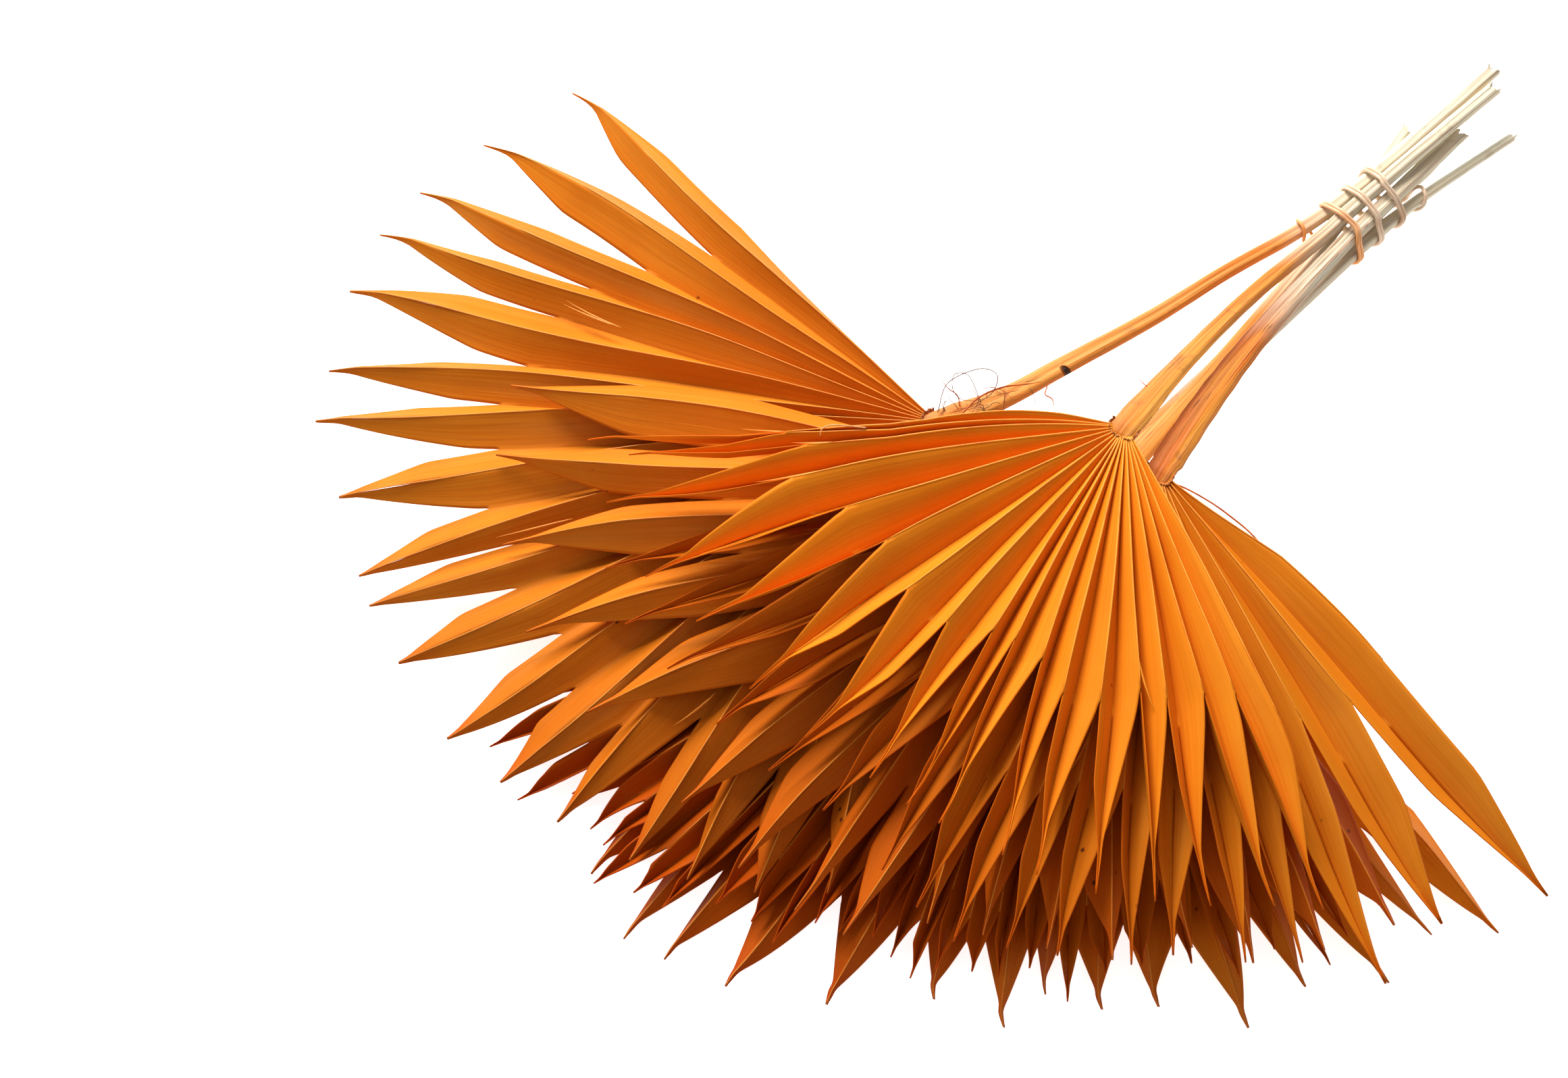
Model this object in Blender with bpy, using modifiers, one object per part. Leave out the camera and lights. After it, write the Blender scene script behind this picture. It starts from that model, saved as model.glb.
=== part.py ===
"""A tied bunch of six trimmed, dyed fan palm leaves, lying on a flat surface.

Frame: metres, +Z up. The stems run along +Y to their cut ends, the fans open
across +X and towards -Y. Each leaf is one closed body: a pleated fan blade grown
into its stalk. The seventh body is the rubber band wound round the six stalks.
The leaves lie in a pile. Each keeps to its own layer, so they nest without meeting.
"""

import math
import random

import bmesh
import bpy
from mathutils import Vector

MM = 0.001

# Where the band ties the stalks, in plan, and the pile of layers under and over it.
TIE = Vector((0.0359, 0.1702))
LAYER = 12.5 * MM          # height of one leaf's share of the pile at its crest
CREST_AT = 180 * MM        # distance from the tie to the crest of the pile
CREST_FALL = 330 * MM      # distance over which the pile would fall from crest to floor
CLEARANCE = 0.75 * MM      # kept free at the top and bottom of each layer

BLADE_THICK = 0.8 * MM
HUB_RADIUS = 6 * MM        # the blade starts this far from the hub, inside the stalk's head
FLAT_RADIUS = 14 * MM      # no pleats inside this radius
FULL_RADIUS = 75 * MM      # pleats reach their full depth at this radius
WEB_ROWS = (0.0, 0.12, 0.34, 0.66, 1.0)
SPEAR_ROWS = (0.28, 0.62, 1.0)
TIP_HALF_WIDTH = 0.6 * MM

# The band, in mm like the leaves' own figures.
BAND_RADIUS = 0.75
BAND_GAP = 0.72            # between a strand and the stalks
STRAND_APART = 1.1         # half the distance between the two strands
BAND_START, BAND_END = -17, 28      # along the stalks from the tie
FACINGS = range(-130, 1035, 5)      # the ways a strand faces as it winds round (degrees)

# Each leaf. layer: its place in the pile. hub: from the tie in plan (mm). turns: each
# segment's direction (degrees). reach: each segment's length (mm). segments: how many, where
# the figures are drawn out to more. joined: the share of the reach that is joined to the
# neighbours, from the fan's start to its end. pleat: depth (mm). rib: +1 with the ribs in
# the valleys, -1 with the ribs on the ridges. stalk: x, y from the tie, height, width,
# thickness, from hub to cut end.
LEAVES = {
    "leaf_front": dict(
        layer=5, hub=(3, -168), pleat=5.0, rib=1, seed=11, joined=(0.66, 0.61, 0.64),
        turns=(219, 228, 237, 246, 256, 266, 275, 281, 286, 293, 299, 306, 312, 318, 324, 329),
        reach=(217, 210, 201, 189, 185, 182, 179, 181, 182, 186, 191, 195, 198, 201, 206, 212),
        stalk=((3, -168, 68.6, 12.5, 4.2), (-1, -126, 58.5, 8.5, 4.8), (-3.5, -73, 45.5, 7.2, 5.4),
               (-2.4, -22, 33, 6.6, 6), (-2, 0, 30, 6.4, 6.2), (1.5, 45, 27.5, 6.2, 6.2),
               (5.7, 95, 24, 6.6, 6.2)),
    ),
    "leaf_right": dict(
        layer=4, hub=(23, -169), pleat=4.8, rib=1, seed=12, joined=(0.62, 0.70, 0.60),
        turns=(229, 235, 243, 251, 259, 267, 275, 281, 287, 292, 298, 304.5, 311, 317, 323, 330.5,
               339, 349),
        reach=(226, 223, 213, 206, 200, 196, 200, 206, 212, 207, 206, 205, 201, 205, 209, 226,
               214, 227),
        stalk=((23, -169, 56.2, 13.5, 4.6), (15, -126, 48.5, 11.5, 5), (9.7, -85, 41, 9.5, 6),
               (5.6, -14, 28.8, 7.4, 7), (6, 0, 27.6, 7.2, 7), (6.3, 32, 23, 7, 6.8),
               (6.5, 70, 18, 7.4, 7)),
    ),
    "leaf_middle": dict(
        layer=3, hub=(10, -190), pleat=4.8, rib=-1, seed=13, joined=(0.62, 0.66, 0.70),
        turns=(205, 214, 223, 233, 244, 257, 267, 274, 282, 288, 296, 303, 310, 319, 327, 334, 342),
        reach=(250, 249, 243, 237, 223, 209, 210, 209, 208, 190, 188, 189, 192, 190, 200, 205, 208),
        stalk=((10, -190, 43.7, 13, 4.2), (8, -165, 42.5, 9.5, 4.6), (4.5, -110, 35, 7.5, 5.4),
               (-1.5, -40, 24.6, 6.6, 6), (-5, 0, 20.2, 6.4, 6.2), (-9, 30, 18, 6.2, 6),
               (-13, 57, 16, 6.4, 5.6)),
    ),
    "leaf_left": dict(
        layer=2, hub=(-68, -198.5), pleat=4.6, rib=-1, seed=14, joined=(0.56, 0.74, 0.72),
        turns=(175, 184, 192, 198, 205.5, 213, 218, 226, 234, 240, 246, 255, 262, 269, 277, 284,
               291, 298),
        reach=(232, 244, 254, 259, 261, 259, 261, 250, 246, 245, 242, 240, 234, 230, 226, 222,
               216, 210),
        stalk=((-68, -198.5, 31, 14, 4.4), (-55.5, -172.6, 31, 9.6, 4.8), (-46, -143, 31, 8.4, 5),
               (-32.5, -100, 31, 7.4, 5.4), (-23, -60, 29.8, 6.6, 5.7), (-13.5, -25, 28, 6.2, 6),
               (-9, 0, 27, 6, 6), (-4.5, 50, 24.5, 6.2, 6), (-1, 104, 22, 7, 6.6)),
    ),
    "leaf_low": dict(
        layer=1, hub=(-4, -182), pleat=4.2, rib=1, seed=15, joined=(0.84, 0.84, 0.82), segments=16,
        turns=(240, 246, 253, 260, 267, 276, 283, 290, 297, 305, 316, 328, 338),
        reach=(248, 258, 256, 254, 244, 226, 222, 216, 214, 212, 210, 211, 220),
        stalk=((-4, -182, 18.7, 12, 4), (-1, -150, 19.5, 8.5, 4.8), (5, -78, 21, 7.4, 6),
               (8.5, -19, 20.6, 7, 6.4), (10.2, 0, 20.2, 6.4, 6), (13.6, 32, 17, 4.8, 4.6),
               (22.5, 90, 8, 4, 3.8)),
    ),
    "leaf_under": dict(
        layer=0, hub=(-10, -174), pleat=4.8, rib=-1, seed=16, joined=(0.80, 0.80, 0.78),
        turns=(240, 247, 254, 261, 267, 272, 277.5, 287, 294, 301, 306, 311, 317, 324, 331, 338,
               344, 350),
        reach=(232, 240, 250, 262, 271, 267, 262, 249, 232, 237, 222, 227, 227, 241, 232, 244,
               236, 251),
        stalk=((-10, -174, 6.2, 12, 4), (-7, -150, 8, 8.5, 5), (-1.5, -80, 14, 7.2, 5.8),
               (2, -26, 18.2, 6.2, 6), (3, 0, 18.8, 6, 6), (3, 28, 12, 6, 6),
               (2.6, 52, 3.6, 6.2, 6.2), (2, 67, 2.6, 6.4, 6.4)),
    ),
}


def clear_scene():
    for obj in list(bpy.data.objects):
        bpy.data.objects.remove(obj, do_unlink=True)


def collection(name):
    made = bpy.data.collections.new(name)
    bpy.context.scene.collection.children.link(made)
    return made


def material(name, colour, roughness):
    mat = bpy.data.materials.new(name)
    mat.use_nodes = True
    shader = mat.node_tree.nodes["Principled BSDF"]
    shader.inputs["Base Color"].default_value = (*colour, 1)
    shader.inputs["Roughness"].default_value = roughness
    mat.diffuse_color = (*colour, 1)
    return mat


def blend(values, place):
    """The value at place 0..1 along evenly spaced values, joined smoothly."""
    last = len(values) - 1
    at = min(max(place, 0.0), 1.0) * last
    i = min(int(at), last - 1)
    t = at - i
    t = t * t * (3 - 2 * t) * 0.4 + t * 0.6
    return values[i] + (values[i + 1] - values[i]) * t


def crest(distance):
    """Height of the pile as a share of its crest, by plan distance from the tie."""
    if distance > CREST_AT:
        return 1 - ((distance - CREST_AT) / CREST_FALL) ** 2
    return 1 - 0.5 * ((distance - CREST_AT) / CREST_AT) ** 2


def in_layer(layer, spot, lift):
    """Height of a point of a leaf: its layer's middle plus a lift, held inside the layer."""
    share = LAYER * crest((spot - TIE).length)
    room = 0.5 * share - CLEARANCE
    upper = 2.0 * room if layer == 5 else room
    return (layer + 0.5) * share + max(-room, min(upper, lift))


def drawn_out(values, count):
    """The figures, in even steps over count places."""
    drawn = []
    for k in range(count):
        at = k * (len(values) - 1) / (count - 1)
        i = min(int(at), len(values) - 2)
        drawn.append(values[i] + (values[i + 1] - values[i]) * (at - i))
    return drawn


def polar(hub, radius, degrees):
    turn = math.radians(degrees)
    return hub + Vector((radius * math.cos(turn), radius * math.sin(turn)))


def blade(leaf, mesh):
    """The pleated fan as a sheet: a joined web near the hub, then one folded spear a segment."""
    rng = random.Random(leaf["seed"])
    hub = TIE + Vector(leaf["hub"]) * MM
    count = leaf.get("segments", len(leaf["turns"]))
    ribs = drawn_out(leaf["turns"], count)
    reach = [length * MM for length in drawn_out(leaf["reach"], count)]
    depth = [leaf["pleat"] * MM * rng.uniform(0.85, 1.0) for _ in ribs]
    step = (ribs[-1] - ribs[0]) / (count - 1)
    edges = [ribs[0] - step / 2]
    edges += [(a + b) / 2 for a, b in zip(ribs, ribs[1:])] + [ribs[-1] + step / 2]
    joined = []
    for j in range(count + 1):
        shorter = min(reach[max(j - 1, 0)], reach[min(j, count - 1)])
        joined.append(blend(leaf["joined"], j / count) * shorter * rng.uniform(0.95, 1.04))

    def corner(spot, fold, height):
        radius = (spot - hub).length
        grown = (radius - FLAT_RADIUS) / (FULL_RADIUS - FLAT_RADIUS)
        grown = min(max(grown, 0.0), 1.0)
        z = in_layer(leaf["layer"], spot, fold * leaf["rib"] * height * grown)
        return mesh.verts.new((spot.x, spot.y, z))

    edge_rows = []
    for j in range(count + 1):
        high = 0.5 * (depth[max(j - 1, 0)] + depth[min(j, count - 1)])
        spots = [polar(hub, HUB_RADIUS + (joined[j] - HUB_RADIUS) * f, edges[j]) for f in WEB_ROWS]
        edge_rows.append([corner(s, 1, high) for s in spots])

    for i in range(count):
        root = blend(leaf["joined"], (i + 0.5) / count) * reach[i]
        rib_row = [
            corner(polar(hub, HUB_RADIUS + (root - HUB_RADIUS) * f, ribs[i]), -1, depth[i])
            for f in WEB_ROWS
        ]
        left, right = edge_rows[i], edge_rows[i + 1]
        for k in range(len(WEB_ROWS) - 1):
            mesh.faces.new((rib_row[k], left[k], left[k + 1], rib_row[k + 1]))
            mesh.faces.new((right[k], rib_row[k], rib_row[k + 1], right[k + 1]))
        # The free spear: its edges close in from the splits to a narrow tip.
        swing = rng.uniform(-0.12, 0.12) * step
        rib_root = polar(hub, root, ribs[i])
        offs = [Vector(side[-1].co[:2]) - rib_root for side in (left, right)]
        before = (rib_row[-1], left[-1], right[-1])
        for place in SPEAR_ROWS:
            rib_spot = polar(hub, root + (reach[i] - root) * place, ribs[i] + swing * place)
            across = Vector((math.sin(math.radians(ribs[i])), -math.cos(math.radians(ribs[i]))))
            narrow = (1 - place) ** 0.9
            height = depth[i] * max(narrow, 0.08)
            now = [corner(rib_spot, -1, height)]
            for off, side in zip(offs, (1, -1)):
                spot = rib_spot + off * narrow + across * side * TIP_HALF_WIDTH * place
                now.append(corner(spot, 1, height))
            mesh.faces.new((before[0], before[1], now[1], now[0]))
            mesh.faces.new((before[2], before[0], now[0], now[2]))
            before = now


def stalk_at(leaf, y):
    """Centre x and height, width and thickness of a stalk where it crosses y from the tie (mm)."""
    knots = leaf["stalk"]
    i = 0
    while i < len(knots) - 2 and y > knots[i + 1][1]:
        i += 1

    def slope(k, axis):
        a, b = knots[max(k - 1, 0)], knots[min(k + 1, len(knots) - 1)]
        return (b[axis] - a[axis]) / (b[1] - a[1])

    a, b = knots[i], knots[i + 1]
    span = b[1] - a[1]
    t = min(max((y - a[1]) / span, 0.0), 1.0)
    found = []
    for axis in (0, 2, 3, 4):
        found.append(
            (2 * t**3 - 3 * t**2 + 1) * a[axis] + (t**3 - 2 * t**2 + t) * span * slope(i, axis)
            + (3 * t**2 - 2 * t**3) * b[axis] + (t**3 - t**2) * span * slope(i + 1, axis)
        )
    return found


def stalk(leaf, mesh):
    """The stalk as a loft: a flattened head inside the blade, a channelled top, a cut end."""
    knots = leaf["stalk"]
    start, end = knots[0][1], knots[-1][1]
    stations = []
    for k in range(17):
        y = start + (end - start) * k / 16
        x, z, width, thick = stalk_at(leaf, y)
        stations.append((Vector((x, y, z)), width, thick))
    away = (stations[0][0] - stations[1][0]).normalized()
    away.z = 0
    head = stations[0][0]
    ahead = ((10, 4.5, 1.8), (6.5, 11, 3), (2, 15.5, 3.8))
    stations = [(head + away * far, w, t) for far, w, t in ahead] + stations
    rings = []
    for k, (centre, width, thick) in enumerate(stations):
        ahead_at = stations[min(k + 1, len(stations) - 1)][0]
        along = (ahead_at - stations[max(k - 1, 0)][0]).normalized()
        side = along.cross(Vector((0, 0, 1))).normalized()
        up = side.cross(along).normalized()
        ring = []
        for q in range(10):
            turn = 2 * math.pi * q / 10
            high = math.sin(turn)
            high *= 0.46 if high > 0 else 0.54
            spot = centre + side * (0.5 * width * math.cos(turn)) + up * (thick * high)
            ring.append(mesh.verts.new(((TIE.x + spot.x * MM), (TIE.y + spot.y * MM), spot.z * MM)))
        rings.append(ring)
    for a, b in zip(rings, rings[1:]):
        for q in range(10):
            mesh.faces.new((a[q], a[(q + 1) % 10], b[(q + 1) % 10], b[q]))
    mesh.faces.new(rings[0])
    mesh.faces.new(list(reversed(rings[-1])))


def stand_on_floor(mesh):
    """Cuts the body off at the floor, which leaves the flat it rests on."""
    parts = list(mesh.verts) + list(mesh.edges) + list(mesh.faces)
    cut = bmesh.ops.bisect_plane(
        mesh, geom=parts, plane_co=(0, 0, 0), plane_no=(0, 0, 1), clear_inner=True
    )
    rim = [item for item in cut["geom_cut"] if isinstance(item, bmesh.types.BMEdge)]
    if rim:
        bmesh.ops.contextual_create(mesh, geom=rim)


def finish(mesh, name, smooth):
    bmesh.ops.recalc_face_normals(mesh, faces=list(mesh.faces))
    for face in mesh.faces:
        face.smooth = smooth
    data = bpy.data.meshes.new(name)
    mesh.to_mesh(data)
    mesh.free()
    return bpy.data.objects.new(name, data)


def add_leaf(name, leaf, mat, parts, helpers):
    mesh = bmesh.new()
    stalk(leaf, mesh)
    if leaf["layer"] == 0:
        stand_on_floor(mesh)
    body = finish(mesh, name + "_stalk_form", True)
    body.display_type = "WIRE"
    body.hide_render = True
    helpers.objects.link(body)
    body.data.materials.append(mat)

    mesh = bmesh.new()
    blade(leaf, mesh)
    obj = finish(mesh, name, False)
    parts.objects.link(obj)
    obj.data.materials.append(mat)
    thick = obj.modifiers.new("thickness", "SOLIDIFY")
    thick.thickness = BLADE_THICK
    thick.offset = 0
    join = obj.modifiers.new("stalk", "BOOLEAN")
    join.operation = "UNION"
    join.solver = "EXACT"
    join.object = body


def bundle_edge(turn, y):
    """Where a taut band touches the bundle at y from the tie, facing the given way."""
    face = Vector((math.cos(turn), math.sin(turn)))
    best = None
    for leaf in LEAVES.values():
        if y > leaf["stalk"][-1][1]:
            continue
        x, z, width, thick = stalk_at(leaf, y)
        spot = Vector((x, z)) + face * (0.5 * max(width, thick) + BAND_GAP + BAND_RADIUS)
        if best is None or spot.dot(face) > best.dot(face):
            best = spot
    return best


def round_stalk(name, y_from, y_to, turn_from, turn_to, steps):
    """Part of a turn of the strand round one stalk, from one facing to another (degrees)."""
    points = []
    for k in range(steps + 1):
        t = k / steps
        turn = math.radians(turn_from + (turn_to - turn_from) * t)
        at = y_from + (y_to - y_from) * t
        x, z, width, thick = stalk_at(LEAVES[name], at)
        far = 0.5 * max(width, thick) + BAND_GAP + BAND_RADIUS
        points.append(Vector((x + far * math.cos(turn), at, z + far * math.sin(turn))))
    return points


def pitch():
    """How far along the stalks (mm) the winding has come at each of its facings."""
    middle = 0.5 * (BAND_START + BAND_END)
    spots = [bundle_edge(math.radians(facing), middle) for facing in FACINGS]
    run = [0.0]
    for before, after in zip(spots, spots[1:]):
        run.append(run[-1] + (after - before).length)
    return [BAND_START + (BAND_END - BAND_START) * far / run[-1] for far in run]


def wound(offset, first, last):
    """One strand wound round the bundle, facing from one way to another (degrees)."""
    points = []
    for facing, along in zip(FACINGS, pitch()):
        if first <= facing <= last:
            spot = bundle_edge(math.radians(facing), along + offset)
            points.append(Vector((spot.x, along + offset, spot.y)))
    return points


def evenly(points, spacing):
    """The closed path through the points, walked at an even spacing."""
    ring = points + [points[0]]
    run = [0.0]
    for a, b in zip(ring, ring[1:]):
        run.append(run[-1] + (b - a).length)
    count = round(run[-1] / spacing)
    walked, i = [], 0
    for k in range(count):
        at = run[-1] * k / count
        while run[i + 1] < at:
            i += 1
        t = (at - run[i]) / max(run[i + 1] - run[i], 1e-9)
        walked.append(ring[i].lerp(ring[i + 1], t))
    return walked


def relaxed(points, times):
    """The closed path with its corners eased."""
    for _ in range(times):
        count = len(points)
        points = [
            points[k] * 0.5 + (points[k - 1] + points[(k + 1) % count]) * 0.25
            for k in range(count)
        ]
    return points


def band_path():
    """Two strands wound side by side, each end of the loop hooked round one outer stalk."""
    out, back = wound(-STRAND_APART, -100, 1030), wound(STRAND_APART, -130, 990)
    end, start = BAND_END, BAND_START
    thin = round_stalk("leaf_low", end, end + 8, -42, 145, 12)
    thin += round_stalk("leaf_right", end + 8, end + 5, -38, -62, 3)
    thin += round_stalk("leaf_under", end + 5, end + 2, 10, -75, 6)
    hold = round_stalk("leaf_left", start - 1, start - 8, -135, -382, 14)
    hold += round_stalk("leaf_middle", start - 8, start - 4, 150, 225, 5)
    return out + thin + list(reversed(back)) + hold


def add_band(mat, parts):
    path = relaxed(evenly(band_path(), 2.3), 1)
    curve = bpy.data.curves.new("rubber_band", "CURVE")
    curve.dimensions = "3D"
    curve.bevel_depth = BAND_RADIUS * MM
    curve.bevel_resolution = 2
    curve.use_fill_caps = True
    spline = curve.splines.new("POLY")
    spline.use_cyclic_u = True
    spline.points.add(len(path) - 1)
    for point, spot in zip(spline.points, path):
        point.co = (TIE.x + spot.x * MM, TIE.y + spot.y * MM, spot.z * MM, 1)
    obj = bpy.data.objects.new("rubber_band", curve)
    obj.data.materials.append(mat)
    parts.objects.link(obj)


def main():
    clear_scene()
    parts = collection("palm_leaf_bunch")
    helpers = collection("helpers")
    tones = {
        "leaf_front": (0.72, 0.28, 0.06), "leaf_right": (0.68, 0.25, 0.05),
        "leaf_middle": (0.62, 0.22, 0.04), "leaf_left": (0.74, 0.29, 0.07),
        "leaf_low": (0.56, 0.19, 0.03), "leaf_under": (0.60, 0.22, 0.05),
    }
    for name, leaf in LEAVES.items():
        add_leaf(name, leaf, material(name + "_dyed_leaf", tones[name], 0.6), parts, helpers)
    add_band(material("band_rubber", (0.70, 0.40, 0.16), 0.5), parts)


main()
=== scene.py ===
"""A tied bunch of six dyed fan palm leaves: fine surfaces and a plain studio round the frame."""
import math
import random

import bmesh
import bpy
import numpy as np
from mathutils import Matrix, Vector


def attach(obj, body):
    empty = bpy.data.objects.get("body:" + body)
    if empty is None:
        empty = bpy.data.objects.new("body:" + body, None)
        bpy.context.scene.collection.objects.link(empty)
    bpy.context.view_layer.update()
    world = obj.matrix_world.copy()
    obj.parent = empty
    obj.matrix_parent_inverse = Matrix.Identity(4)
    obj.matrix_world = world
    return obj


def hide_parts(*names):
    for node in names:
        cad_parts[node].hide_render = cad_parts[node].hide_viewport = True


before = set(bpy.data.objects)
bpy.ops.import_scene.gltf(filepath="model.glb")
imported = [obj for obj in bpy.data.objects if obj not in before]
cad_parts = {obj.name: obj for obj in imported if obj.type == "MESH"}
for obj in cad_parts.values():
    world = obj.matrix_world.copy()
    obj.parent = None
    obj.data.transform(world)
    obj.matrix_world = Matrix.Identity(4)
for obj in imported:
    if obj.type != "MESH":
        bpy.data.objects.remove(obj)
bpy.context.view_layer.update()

bl_info = {
    "name": "Palm Leaf Bunch",
    "version": (1, 0, 0),
    "blender": (4, 5, 0),
    "location": "3D View > Sidebar > Palm Bunch",
    "description": "Builds a tied bunch of pleated, dyed fan palm leaves and a plain studio",
    "category": "Add Mesh",
}

MM = 0.001

# The pile that the leaves lie in, and the tie, as the solids have them.
TIE = Vector((0.0359, 0.1702, 0.0))
LAYER = 12.5 * MM
CREST_AT = 180 * MM
CREST_FALL = 330 * MM
CLEARANCE = 0.45 * MM
TOP_LAYER = 5

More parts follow.
